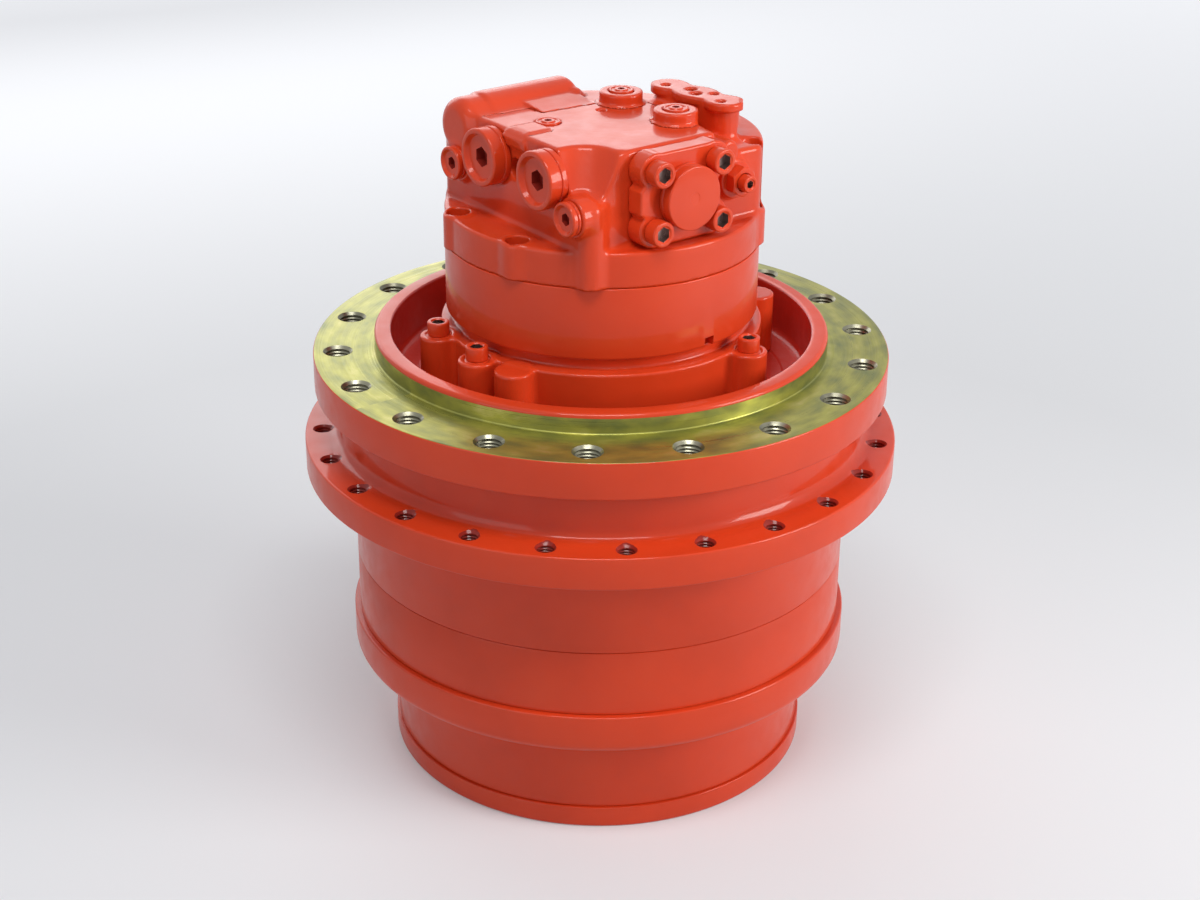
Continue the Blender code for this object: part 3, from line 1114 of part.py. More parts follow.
def cap_corners():
    return [Matrix.Translation((i * CAP_SCREW_X, j * CAP_SCREW_Z, 0)) for j in (1, -1) for i in (-1, 1)]


def cap_screw_places():
    return [cap_place() @ corner for corner in cap_corners()]


def adjuster_place():
    return Matrix.Translation((ADJUSTER_X, CAP_FACE_Y, LEDGE + ADJUSTER_LIFT)) @ facing((0, -1, 0))


def gauge_plug_places():
    """Seats of the three plugs on top of the head: two on bosses, one on the flat."""
    spots = [(x, y, HEAD_TOP + BOSS_RISE) for x, y in BOSS_PLACES] + [(*FLAT_PLUG_PLACE, HEAD_TOP)]
    return [Matrix.Translation(spot) for spot in spots]


def build_plug(name, radius, head, place):
    """Screw-in plug: shank, round head with a sunk middle, and a hexagon socket."""
    shank = radius * PLUG_SHANK_SHARE
    rim = radius - PLUG_RIM
    sunk = head - PLUG_RIM / 2
    profile = [(0, -PLUG_SHANK_LENGTH), (shank, -PLUG_SHANK_LENGTH), (shank, SEAT_GAP), (radius, SEAT_GAP)]
    profile += [(radius, head), (rim, head), (rim, sunk), (0, sunk)]
    socket = Shape().prism(hex_outline(PLUG_SOCKET_FLATS), head / 4, head + CUT_OVERRUN)
    piece(name, Shape().turned(profile, SMALL_FACETS), ENAMEL, None, place, cuts=[socket])


def build_head_plugs():
    on_seat = Matrix.Translation((0, 0, -SPOT_FACE_DEPTH))
    height = PLUG_HEAD_HEIGHT + SPOT_FACE_DEPTH
    for number, place in enumerate(port_places(PORT_PLUG_PLACES), 1):
        build_plug(f"port_plug_{number}", PORT_PLUG_RADIUS, height, place @ on_seat)
    on_boss = Matrix.Translation((0, 0, PLUG_BOSS_HEIGHT))
    for number, place in enumerate(port_places(SIDE_PLUG_PLACES), 1):
        build_plug(f"side_plug_{number}", SIDE_PLUG_RADIUS, PLUG_HEAD_HEIGHT / 2, place @ on_boss)
    for number, place in enumerate(gauge_plug_places(), 1):
        plug = Shape().rod(GAUGE_PLUG_RADIUS, SEAT_GAP - GAUGE_PLUG_SEAT, GAUGE_PLUG_RISE, HOLE_FACETS)
        socket = Shape().prism(hex_outline(GAUGE_PLUG_RADIUS), 0, CUT_OVERRUN)
        piece(f"gauge_plug_{number}", plug, ENAMEL, None, place, cuts=[socket])


def build_valve_cap(spool_body):
    bottom = SEAT_GAP
    top = bottom + CAP_THICKNESS
    half_x = CAP_SCREW_X + CAP_LOBE_RADIUS / 2
    half_z = CAP_SCREW_Z + CAP_LOBE_RADIUS * cos(pi / SMALL_FACETS)
    outline = [(-half_x, -half_z), (half_x, -half_z), (half_x, half_z), (-half_x, half_z)]
    body = Shape().prism(outline, bottom, top)
    lobes = [Shape().rod(CAP_LOBE_RADIUS, bottom, top, SMALL_FACETS, place) for place in cap_corners()]
    bore = CAP_SCREW_SHANK + SEAT_GAP
    span = (-CUT_OVERRUN, top + CUT_OVERRUN)
    screw_holes = [Shape().rod(bore, *span, SHANK_FACETS, place) for place in cap_corners()]
    plug_shank = CAP_PLUG_RADIUS * PLUG_SHANK_SHARE
    plug_hole = Shape().rod(clear_bore(plug_shank, INNER_FACETS), *span, INNER_FACETS)
    piece("valve_cap", body, ENAMEL, None, cap_place(), joins=lobes, cuts=[*screw_holes, plug_hole])

    seat = top + SEAT_GAP
    profile = [(0, bottom), (plug_shank, bottom), (plug_shank, seat), (CAP_PLUG_RADIUS, seat)]
    profile += [(CAP_PLUG_RADIUS, seat + CAP_PLUG_HEIGHT), (0, seat + CAP_PLUG_HEIGHT)]
    piece("valve_cap_plug", Shape().turned(profile, INNER_FACETS), ENAMEL, None, cap_place())
    on_cap = Matrix.Translation((0, 0, seat))
    for number, place in enumerate(cap_screw_places(), 1):
        body = screw(CAP_SCREW_RADIUS, CAP_SCREW_HEAD, CAP_SCREW_SHANK, CAP_SCREW_LENGTH)
        span = (CAP_SCREW_HEAD / 2, CAP_SCREW_HEAD + CUT_OVERRUN)
        socket = Shape().prism(hex_outline(CAP_SCREW_RADIUS), *span)
        piece(f"valve_cap_screw_{number}", body, ENAMEL, None, place @ on_cap, cuts=[socket])

    groove = (SPOOL_LENGTH * SPOOL_GROOVE_START, SPOOL_LENGTH * (1 - SPOOL_GROOVE_START))
    lands = [(0, 0), (SPOOL_RADIUS, 0), (SPOOL_RADIUS, groove[0]), (SPOOL_GROOVE_RADIUS, groove[0])]
    lands += [(SPOOL_GROOVE_RADIUS, groove[1]), (SPOOL_RADIUS, groove[1]), (SPOOL_RADIUS, SPOOL_LENGTH)]
    lands.append((0, SPOOL_LENGTH))
    spool = piece("counterbalance_spool", Shape().turned(lands, SMALL_FACETS), BARE_STEEL)
    spool.parent = spool_body
    spool.matrix_local = facing((0, -1, 0)) @ Matrix.Translation((0, 0, -SPOOL_LENGTH - SPOOL_STROKE))


def build_adjuster():
    seat = ADJUSTER_BOSS_HEIGHT + SEAT_GAP
    hole = circle(ADJUSTER_SCREW_RADIUS + SEAT_GAP, SHANK_FACETS)
    nut = Shape().plate([hex_outline(ADJUSTER_NUT_FLATS), hole], seat, seat + ADJUSTER_NUT_HEIGHT)
    piece("adjuster_locknut", nut, ENAMEL, None, adjuster_place())
    span = (SEAT_GAP - PLUG_SHANK_LENGTH, ADJUSTER_SCREW_REACH)
    stem = Shape().rod(ADJUSTER_SCREW_RADIUS, *span, SHANK_FACETS)
    piece("adjuster_screw", stem, ENAMEL, None, adjuster_place())


def main():
    for obj in list(bpy.data.objects):
        bpy.data.objects.remove(obj)
    hub = pivot("hub_axis")
    carrier = pivot("carrier_1_axis")
    shaft = pivot("motor_shaft_axis")
    brake = pivot("brake_piston_axis")
    swash = pivot("swash_axis", (0, 0, SWASH_PIVOT))
    spool = pivot("spool_axis", (CAP_X, CAP_FACE_Y, LEDGE + CAP_LIFT))
    build_hub(hub)
    build_spindle()
    build_carrier_2()
    build_carrier_1(carrier)
    stage_1 = (PLANET_1_CIRCLE, PIN_1_RADIUS, PLANET_1_BOTTOM, PLANET_1_TOP)
    build_planets(1, MODULE_1, PLANET_1_TEETH, RING_1_TEETH, *stage_1, parent=carrier)
    stage_2 = (PLANET_2_CIRCLE, PIN_2_RADIUS, PLANET_2_BOTTOM, PLANET_2_TOP)
    build_planets(2, MODULE_2, PLANET_2_TEETH, RING_2_TEETH, *stage_2)
    build_motor_flange()
    build_casing()
    build_rotating_group(shaft)
    build_brake_swash_valve(brake, swash)
    build_head()
    build_head_plugs()
    build_valve_cap(spool)
    build_adjuster()


main()
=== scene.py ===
"""Looks of the excavator final drive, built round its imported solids.

Shapes are worked out in millimetres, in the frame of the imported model, and made in metres.
"""

from math import acos, atan2, cos, pi, radians, sin, sqrt, tan

import bpy
import numpy as np
from mathutils import Matrix, Vector


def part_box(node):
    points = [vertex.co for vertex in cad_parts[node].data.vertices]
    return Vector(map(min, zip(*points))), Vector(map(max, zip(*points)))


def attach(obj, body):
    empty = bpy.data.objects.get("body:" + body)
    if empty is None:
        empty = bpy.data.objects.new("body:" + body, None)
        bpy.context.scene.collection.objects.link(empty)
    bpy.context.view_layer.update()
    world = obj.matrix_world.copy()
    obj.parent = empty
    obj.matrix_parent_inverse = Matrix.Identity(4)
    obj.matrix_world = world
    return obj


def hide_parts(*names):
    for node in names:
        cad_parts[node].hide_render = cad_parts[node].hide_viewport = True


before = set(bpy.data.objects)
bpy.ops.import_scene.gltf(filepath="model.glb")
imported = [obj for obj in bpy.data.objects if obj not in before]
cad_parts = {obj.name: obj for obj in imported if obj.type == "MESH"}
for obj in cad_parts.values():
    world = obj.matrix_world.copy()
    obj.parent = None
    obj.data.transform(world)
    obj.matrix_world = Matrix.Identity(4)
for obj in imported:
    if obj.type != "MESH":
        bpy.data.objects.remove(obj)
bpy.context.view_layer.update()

# Fineness of the meshes
MM = 0.001
TURN_STEPS = 160
SMALL_STEPS = 64
CAST_STEP = 1.3
FINE_STEP = 0.8
SMOOTH_ANGLE = radians(32)
GAP = 0.3
OVERRUN = 2

# Heights, from the end cover up
COVER_TOP = 16.8
CASE_BOTTOM = 17.1
CASE_STEP = 82.7
CARRIER_2_BOTTOM = 99.8
RIM_TOP = 112.7
RING_2_BOTTOM = 113.0
RING_2_TOP = 162.6
HUB_BOTTOM = 162.9
SPROCKET_FACE = 231.7
SPROCKET_TOP = 255.6
NECK_TOP = 288.1
FRAME_BOTTOM = 294.0
FRAME_FACE = 321.2
PILOT_TOP = 335.6
POCKET_FLOOR = 297.7
SPIGOT_FLOOR = 262.0
MOTOR_BOTTOM = 298.0
MOTOR_FLANGE_TOP = 343.0
MOTOR_NECK_TOP = 351.9
CASING_BOTTOM = 352.2
CASING_TOP = 404.2
HEAD_BOTTOM = 404.5
LEDGE = 429.7
HEAD_TOP = 496.2
BOSS_TOP = HEAD_TOP + 8.5
SINK_FLOOR = LEDGE - 13.5
SWASH_PIVOT = 332.0

# Radii, bolt circles and teeth
HUB_RADIUS = 184.8
HUB_BORE = 168.6
SPROCKET_RADIUS = 220.0
SPROCKET_CIRCLE = 207.1
CASE_RADIUS = 157.5
RIM_RADIUS = 189.0
COVER_SPIGOT = 116.0
COVER_PLUG_CIRCLE = 85.0
COVER_SCREW_CIRCLE = 142.0
FRAME_RADIUS = 211.2
FRAME_CIRCLE = 193.2
PILOT_RADIUS = 166.3
POCKET_RADIUS = 153.9
FLANGE_CIRCLE = 124.5
CASING_RADIUS = 113.4
HEAD_RADIUS = 113.1
HEAD_CIRCLE = 105.8
PRESSURE_ANGLE = radians(20)
BACKLASH = 0.5

# Places on the motor
PORT_FACE_X = -82.0
PORT_SEAT_X = -81.2
PORT_BORE_X = -64.8
CAP_FACE_Y = -88.0
CAP_BORE_Y = -72.0
NOTCH_ANGLE = -86.0
FLANGE_LOBE_ANGLES = (163.5, 188.5, 203.5, 289.0, 343.5, 8.5, 23.5, 109.0)
FLANGE_BOLT_ANGLES = (163.5, 188.5, 289.0, 109.0)
HEAD_BOLT_ANGLES = (159.5, 199.5, 315.0, 45.0)
PORT_PLUGS = ((16.8, LEDGE + 44.5), (-48.6, LEDGE + 44.8))
SIDE_PLUGS = ((56.0, LEDGE + 30.0), (-79.0, LEDGE + 25.5))
BOSSES = ((22.0, 8.0), (24.0, -51.0))
FLAT_PLUG = (-49.5, -2.0)
CAP_CENTRE = (-8.7, LEDGE + 33.2)
CAP_SCREWS = ((-25.9, 20.5), (25.9, 20.5), (-25.9, -20.5), (25.9, -20.5))
ADJUSTER = (44.5, LEDGE + 31.5)
PAD_CENTRE = (57.0, -34.0)
PAD_TURN = radians(-85.0)
PAD_HOLES = ((-27.0, -4.0, 3.2), (12.0, 5.5, 3.2), (28.5, -4.5, 3.2), (-7.0, 1.5, 4.2), (3.0, -3.5, 4.2))
TOP_HOLE = (-1.5, 0.0)
SMALL_PORT = (-9.0, 470.3)

# Camera
CAMERA_BACK = Vector((-0.5515, -0.7166, 0.4268)).normalized()
CAMERA_TARGET = Vector((0, 0, 0.2314))
CAMERA_DISTANCE = 1.5983
CAMERA_ROLL = radians(0.5507)


# Profiles and meshes


def polar(radius, angle, height=0.0):
    return Vector((radius * cos(radians(angle)), radius * sin(radians(angle)), height))


def facing(direction):
    return Vector(direction).to_track_quat("Z", "Y").to_matrix().to_4x4()


def circle(radius, count, turn=0.0):
    angles = [turn + 2 * pi * k / count for k in range(count)]
    return [(radius * cos(angle), radius * sin(angle)) for angle in angles]


def hexagon(flats, turn=0.0):
    return circle(flats / sqrt(3), 6, turn)


def round_places(radius, count, first):
    """Places on a bolt circle, evenly spaced from the first angle."""
    return [Matrix.Translation(polar(radius, first + 360 / count * k)) for k in range(count)]


def filleted(corners, closed=True, steps=5):
    """Points of a profile of (u, v, radius) corners, each rounded by its own radius."""
    points = []
    for k, (u, v, radius) in enumerate(corners):
        if not radius or (not closed and k in (0, len(corners) - 1)):
            points.append((u, v))
            continue
        here = Vector((u, v))
        before = (Vector(corners[k - 1][:2]) - here).normalized()
        after = (Vector(corners[(k + 1) % len(corners)][:2]) - here).normalized()
        half = acos(max(-1.0, min(1.0, before.dot(after)))) / 2
        centre = here + (before + after).normalized() * radius / sin(half)
        start = here + before * radius / tan(half) - centre
        end = here + after * radius / tan(half) - centre
        first = atan2(start.y, start.x)
        turn = (atan2(end.y, end.x) - first + pi) % (2 * pi) - pi
        for step in range(steps + 1):
            angle = first + turn * step / steps
            points.append((centre.x + radius * cos(angle), centre.y + radius * sin(angle)))
    return points


def rings_mesh(rings, closed, place=Matrix()):
    """Points and faces of a skin through rings of points, joined end to end when it is closed."""
    points, starts = [], []
    for ring in rings:
        starts.append((len(points), len(ring)))
        points += [place @ Vector(p) for p in ring]
    faces = []
    following = starts[1:] + starts[:1] if closed else starts[1:]
    for (low, few), (high, many) in zip(starts, following):
        for k in range(max(few, many)):
            corners = [low + k % few, low + (k + 1) % few, high + (k + 1) % many, high + k % many]
            unique = list(dict.fromkeys(corners))
            if len(unique) > 2:
                faces.append(unique)
    if not closed:
        (low, few), (high, many) = starts[0], starts[-1]
        faces.append([low + k for k in reversed(range(few))])
        faces.append([high + k for k in range(many)])
    return points, faces


def turned(profile, steps=TURN_STEPS, place=Matrix()):
    """Body of revolution about Z of a closed (radius, height) profile."""
    rings = []
    for radius, z in profile:
        ring = circle(radius, steps) if radius > 1e-6 else [(0.0, 0.0)]
        rings.append([(x, y, z) for x, y in ring])
    return rings_mesh(rings, True, place)


def prism(outline, bottom, top, place=Matrix()):
    return rings_mesh([[(x, y, z) for x, y in outline] for z in (bottom, top)], False, place)


def joined(meshes):
    """Several separate closed meshes as one."""
    points, faces = [], []
    for some_points, some_faces in meshes:
        start = len(points)
        points += some_points
        faces += [[start + k for k in face] for face in some_faces]
    return points, faces


def new_object(name, shape, materials, smooth=SMOOTH_ANGLE):
    """Object in metres from points in millimetres, with its faces pointing out."""
    points, faces = shape
    data = bpy.data.meshes.new(name)
    data.from_pydata([Vector(p) * MM for p in points], [], faces)
    data.validate()
    data.update()
    for made in materials:
        data.materials.append(made)
    obj = bpy.data.objects.new(name, data)
    bpy.context.scene.collection.objects.link(obj)
    bpy.context.view_layer.objects.active = obj
    flat = np.array([v.co for v in data.vertices])
    data.calc_loop_triangles()
    corners = flat[np.array([t.vertices for t in data.loop_triangles])]
    volume = np.einsum("ij,ij->i", corners[:, 0], np.cross(corners[:, 1], corners[:, 2])).sum()
    if volume < 0:
        data.flip_normals()
    soften(obj, smooth)
    return obj


def soften(obj, smooth=SMOOTH_ANGLE):
    obj.data.shade_smooth()
    if smooth:
        obj.data.set_sharp_from_angle(angle=smooth)


def boolean(obj, shape, operation="DIFFERENCE", index=0):
    """Boolean with one shape; the faces that it leaves take the material slot of this index."""
    cutter = new_object("tool", shape, obj.data.materials[:])
    for polygon in cutter.data.polygons:
        polygon.material_index = index
    modifier = obj.modifiers.new("cut", "BOOLEAN")
    modifier.operation = operation
    modifier.solver = "EXACT"
    modifier.object = cutter
    graph = bpy.context.evaluated_depsgraph_get()
    result = bpy.data.meshes.new_from_object(obj.evaluated_get(graph))
    obj.modifiers.clear()
    obj.data = result
    bpy.data.objects.remove(cutter)
    soften(obj)


def settle_piece(obj, body, slot, *nodes):
    """The piece rides on its body and stands for these nodes, which are hidden; its slot is not used."""
    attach(obj, body)
    if nodes:
        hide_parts(*nodes)


# Distance fields for the cast shapes: negative inside, in millimetres


def union(a, b, r=0.0):
    """Join of two fields with a fillet of radius r."""
    if r <= 0:
        return np.minimum(a, b)
    return np.maximum(r, np.minimum(a, b)) - np.hypot(np.maximum(r - a, 0), np.maximum(r - b, 0))


def meet(a, b, r=0.0):
    """Common part of two fields with its edge rounded by r."""
    if r <= 0:
        return np.maximum(a, b)
    return np.minimum(-r, np.maximum(a, b)) + np.hypot(np.maximum(r + a, 0), np.maximum(r + b, 0))


def without(a, b, r=0.0):
    return meet(a, -b, r)


def drum(p, x, y, radius):
    return np.hypot(p[:, 0] - x, p[:, 1] - y) - radius


def rod_x(p, y, z, radius):
    return np.hypot(p[:, 1] - y, p[:, 2] - z) - radius


def rod_y(p, x, z, radius):
    return np.hypot(p[:, 0] - x, p[:, 2] - z) - radius


def between(v, low, high):
    return np.maximum(low - v, v - high)


def polygon(x, y, corners):
    """Distance to a plan polygon whose corners run anticlockwise."""
    nearest = np.full(x.shape, 1e9)
    inside = np.zeros(x.shape, bool)
    for (ax, ay), (bx, by) in zip(corners, corners[1:] + corners[:1]):
        ex, ey = bx - ax, by - ay
        share = np.clip(((x - ax) * ex + (y - ay) * ey) / (ex * ex + ey * ey), 0, 1)
        nearest = np.minimum(nearest, np.hypot(x - ax - ex * share, y - ay - ey * share))
        crosses = ((ay > y) != (by > y)) & (x < (bx - ax) * (y - ay) / (by - ay + 1e-12) + ax)
        inside ^= crosses
    return np.where(inside, -nearest, nearest)


def sampled(field, low, high, step, block=4):
    """Field on a grid, worked out in full only in the blocks that the surface may cross."""
    low, high = np.array(low, float), np.array(high, float)
    counts = np.ceil((high - low) / (step * block)).astype(int)
    axes = [low[k] + (np.arange(counts[k]) + 0.5) * block * step for k in range(3)]
    centres = np.stack(np.meshgrid(*axes, indexing="ij"), -1).reshape(-1, 3)
    rough = field(centres).reshape(counts)
    near = np.abs(rough) < 1.35 * block * step
    for k in range(3):
        rough = rough.repeat(block, k)
        near = near.repeat(block, k)
    at = np.argwhere(near)
    values = np.where(rough < 0, -99.0, 99.0)
    values[near] = field(low + at * step)
    return values, low


def surface_net(values, low, step):
    """Quads over the zero surface of a grid, with one point in each cell that it crosses."""
    shape = values.shape
    strides = np.array([shape[1] * shape[2], shape[2], 1])
    ids, spots, quads = [], [], []
    for axis in range(3):
        u, v = (axis + 1) % 3, (axis + 2) % 3
        first, second = [slice(None)] * 3, [slice(None)] * 3
        first[axis], second[axis] = slice(0, -1), slice(1, None)
        a, b = values[tuple(first)], values[tuple(second)]
        at = np.argwhere((a < 0) != (b < 0))
        start, end = a[tuple(at.T)], b[tuple(at.T)]
        spot = at.astype(float)
        spot[:, axis] += start / (start - end)
        around = []
        for du, dv in ((0, 0), (1, 0), (1, 1), (0, 1)):
            cell = at.copy()
            cell[:, u] -= du
            cell[:, v] -= dv
            around.append(cell @ strides)
            spots.append(spot)
        ids += around
        quad = np.stack(around, 1)
        quad[start > 0] = quad[start > 0][:, ::-1]
        quads.append(quad)
    cells, index = np.unique(np.concatenate(ids), return_inverse=True)
    spots = np.concatenate(spots)
    count = np.bincount(index)
    points = np.stack([np.bincount(index, spots[:, k]) / count for k in range(3)], 1)
    return low + points * step, np.searchsorted(cells, np.concatenate(quads))


def on_surface(points, field, step, rounds=3, reach=0.05):
    """Points moved onto the zero surface along its slope."""
    for _ in range(rounds):
        value = field(points)
        offsets = np.eye(3) * reach
        slope = np.stack([field(points + e) - field(points - e) for e in offsets], 1) / (2 * reach)
        move = slope * (value / np.maximum((slope**2).sum(1), 0.3))[:, None]
        length = np.linalg.norm(move, axis=1, keepdims=True)
        points = points - move * np.minimum(1, 0.7 * step / np.maximum(length, 1e-9))
    return points


def cast(name, field, low, high, step, materials):
    """Object with the zero surface of a field."""
    values, low = sampled(field, low, high, step)
    points, quads = surface_net(values, low, step)
    points = on_surface(points, field, step)
    return new_object(name, (points.tolist(), quads.tolist()), materials, smooth=None)


# Materials

WEAR = 0.35


class Look:
    """A Principled material under construction, with textures in the object's own metres."""

    def __init__(self, name, colour, roughness, metallic=0.0, **inputs):
        self.material = bpy.data.materials.new(name)
        self.material.use_nodes = True
        self.tree = self.material.node_tree
        self.shader = self.tree.nodes["Principled BSDF"]
        self.set("Base Color", (*colour, 1.0))
        self.set("Roughness", roughness)
        self.set("Metallic", metallic)
        for key, value in inputs.items():
            self.set(key.replace("_", " "), value)
        self.coords = self.node("ShaderNodeTexCoord").outputs["Object"]
        self.height = None

    def set(self, socket, value):
        self.shader.inputs[socket].default_value = value

    def node(self, kind, **settings):
        made = self.tree.nodes.new(kind)
        for key, value in settings.items():
            if key in made.inputs.keys():
                made.inputs[key].default_value = value
            else:
                setattr(made, key, value)
        return made

    def link(self, source, target):
        self.tree.links.new(source, target)

    def noise(self, size, detail=3.0, vector=None):
        """Noise whose main features are about this many millimetres across."""
        made = self.node("ShaderNodeTexNoise", Scale=1000.0 / size, Detail=detail, Roughness=0.5)
        self.link(vector or self.coords, made.inputs["Vector"])
        return made.outputs["Fac"]

    def polar_coords(self, around, out, up):
        """Coordinates along a turned surface: angle, radius and height, each with its own stretch."""
        split = self.node("ShaderNodeSeparateXYZ")
        self.link(self.coords, split.inputs[0])
        angle = self.node("ShaderNodeMath", operation="ARCTAN2")
        self.link(split.outputs["Y"], angle.inputs[0])
        self.link(split.outputs["X"], angle.inputs[1])
        flat = self.node("ShaderNodeVectorMath", operation="MULTIPLY")
        flat.inputs[1].default_value = (1, 1, 0)
        self.link(self.coords, flat.inputs[0])
        length = self.node("ShaderNodeVectorMath", operation="LENGTH")
        self.link(flat.outputs[0], length.inputs[0])
        merged = self.node("ShaderNodeCombineXYZ")
        for source, target, stretch in (
            (angle.outputs[0], "X", around),
            (length.outputs["Value"], "Y", out),
            (split.outputs["Z"], "Z", up),
        ):
            scaled = self.node("ShaderNodeMath", operation="MULTIPLY")
            scaled.inputs[1].default_value = stretch
            self.link(source, scaled.inputs[0])
            self.link(scaled.outputs[0], merged.inputs[target])
        return merged.outputs[0]

    def spread(self, fac, low, high, start=0.3, end=0.7):
        """A value that runs from low to high as the factor does from start to end."""
        made = self.node("ShaderNodeMapRange")
        for key, value in (("From Min", start), ("From Max", end), ("To Min", low), ("To Max", high)):
            made.inputs[key].default_value = value
        self.link(fac, made.inputs["Value"])
        return made.outputs["Result"]

    def colours(self, fac, stops):
        made = self.node("ShaderNodeValToRGB")
        ramp = made.color_ramp
        while len(ramp.elements) < len(stops):
            ramp.elements.new(0.5)
        for element, (position, colour) in zip(ramp.elements, stops):
            element.position = position
            element.color = (*colour, 1.0)
        self.link(fac, made.inputs["Fac"])
        return made.outputs["Color"]

    def drive(self, socket, source):
        self.link(source, self.shader.inputs[socket])

    def bump(self, fac, depth):
        """Adds relief of this depth in millimetres."""
        made = self.node("ShaderNodeBump", Strength=1.0, Distance=depth * MM)
        self.link(fac, made.inputs["Height"])
        if self.height:
            self.link(self.height, made.inputs["Normal"])
        self.height = made.outputs["Normal"]
        self.drive("Normal", self.height)


def enamel(name, grain, base=(0.66, 0.050, 0.011), roughness=0.38):
    """Red enamel with orange peel; the grain is the depth of the casting's skin under the paint."""
    look = Look(name, base, roughness, Coat_Weight=0.42, Coat_Roughness=0.09, Specular_IOR_Level=0.12)
    cloud = look.noise(70, 3)
    deep = tuple(c * 0.93 for c in base)
    pale = (base[0] * 1.03, base[1] * 1.10, base[2] * 1.12)
    look.drive("Base Color", look.colours(cloud, ((0.32, deep), (0.5, base), (0.70, pale))))
    look.drive("Roughness", look.spread(look.noise(14, 5), roughness - 0.06, roughness + 0.10))
    look.bump(look.noise(3.2, 2), 0.030)
    look.bump(look.noise(9.0, 3), grain)
    return look.material


def chromate():
    """Yellow-green chromate over a faced flange."""
    look = Look("chromate", (0.40, 0.38, 0.07), 0.40, 0.70)
    cloud = look.noise(160, 4, look.polar_coords(1.1, 14.0, 14.0))
    stops = (
        (0.28, (0.17, 0.19, 0.060)),
        (0.44, (0.26, 0.26, 0.062)),
        (0.60, (0.36, 0.345, 0.070)),
        (0.76, (0.48, 0.435, 0.15)),
    )
    look.drive("Base Color", look.colours(cloud, stops))
    streaks = look.noise(60, 5, look.polar_coords(0.05, 60.0, 60.0))
    look.drive("Roughness", look.spread(streaks, 0.26, 0.46))
    look.bump(look.noise(12, 2, look.polar_coords(0.01, 12.0, 12.0)), 0.012)
    look.bump(look.noise(6, 3), 0.020)
    return look.material


def steel(name, colour, roughness, ring=False):
    """Machined steel with fine lay, darker where oil and handling have dulled it."""
    look = Look(name, colour, roughness, 1.0)
    dull = tuple(c * (1 - WEAR) for c in colour)
    look.drive("Base Color", look.colours(look.noise(24, 5), ((0.35, dull), (0.62, colour))))
    look.drive("Roughness", look.spread(look.noise(7, 4), roughness - 0.08, roughness + 0.14))
    if ring:
        look.bump(look.noise(4, 2, look.polar_coords(0.02, 9.0, 9.0)), 0.010)
    look.bump(look.noise(1.6, 3), 0.006)
    return look.material


def bronze():
    look = Look("bronze", (0.55, 0.34, 0.15), 0.34, 1.0)
    stops = ((0.35, (0.34, 0.18, 0.07)), (0.65, (0.60, 0.38, 0.17)))
    look.drive("Base Color", look.colours(look.noise(18, 5), stops))
    look.bump(look.noise(1.5, 3), 0.006)
    return look.material


RED = enamel("red_enamel", 0.05)
RED_CAST = enamel("red_cast", 0.22)
# Darker red for the spindle's pocket and bore: painted shade in the recess, not a different paint.
RED_SHADED_POCKET = enamel("red_painted_shade_pocket", 0.30, (0.50, 0.030, 0.018))
RED_THREAD = enamel("red_thread", 0.05, (0.30, 0.022, 0.014), 0.45)
CHROMATE = chromate()
BARE = steel("bare_steel", (0.52, 0.51, 0.50), 0.30, ring=True)
DARK = steel("dark_steel", (0.13, 0.13, 0.14), 0.42)
SOCKET = steel("socket_steel", (0.36, 0.27, 0.25), 0.30)
HOLE = steel("hole_steel", (0.27, 0.26, 0.19), 0.34)
GEAR = steel("gear_steel", (0.50, 0.49, 0.46), 0.28)
BRONZE = bronze()


# Hub


def involute(angle):
    return tan(angle) - angle


def tooth_hole(teeth, module):
    """Edge of a toothed hole, as the ring gears have it, with a ring tooth on +X."""
    pitch = teeth * module / 2
    base = pitch * cos(PRESSURE_ANGLE)
    halves = []
    for radius in (pitch - 0.8 * module, pitch + module):
        slope = involute(PRESSURE_ANGLE) - involute(acos(min(1.0, base / radius)))
        halves.append((radius, pi / (2 * teeth) + BACKLASH / pitch + slope))
    points = []
    for k in range(teeth):
        centre = pi / teeth + 2 * pi * k / teeth
        for side, radii in ((-1, halves), (1, halves[::-1])):
            points += [(r * cos(centre + side * half), r * sin(centre + side * half)) for r, half in radii]
    return points


def build_hub():
    profile = filleted([
        (HUB_RADIUS, HUB_BOTTOM, 0.4),
        (HUB_RADIUS, SPROCKET_FACE, 4.0),
        (SPROCKET_RADIUS, SPROCKET_FACE, 1.4),
        (SPROCKET_RADIUS, SPROCKET_TOP, 1.6),
        (193.0, SPROCKET_TOP, 10.0),
        (193.0, NECK_TOP, 1.8),
        (180.0, NECK_TOP, 0.8),
        (180.0, 260.8, 0),
        (HUB_BORE, 260.8, 0),
        (HUB_BORE, 211.7, 0),
        (162.0, 211.7, 0),
        (162.0, 200.9, 0),
        (HUB_BORE, 200.9, 0),
        (HUB_BORE, HUB_BOTTOM, 0.7),
    ])
    hub = new_object("hub_barrel", turned(profile), [RED, RED_THREAD])
    tap = threaded_hole(5.9, 6.9, 2.0, SPROCKET_FACE, SPROCKET_TOP)
    places = round_places(SPROCKET_CIRCLE, 24, 12.5)
    boolean(hub, joined([turned(tap, 20, place) for place in places]), index=1)
    settle_piece(hub, "hub", "red_enamel", "hub_housing")


def build_upper_ring():
    ring = toothed_ring("upper_ring", HUB_RADIUS, RING_2_BOTTOM, RING_2_TOP, 42, 7.0, 1.5)
    settle_piece(ring, "hub", "red_enamel", "ring_gear_2")


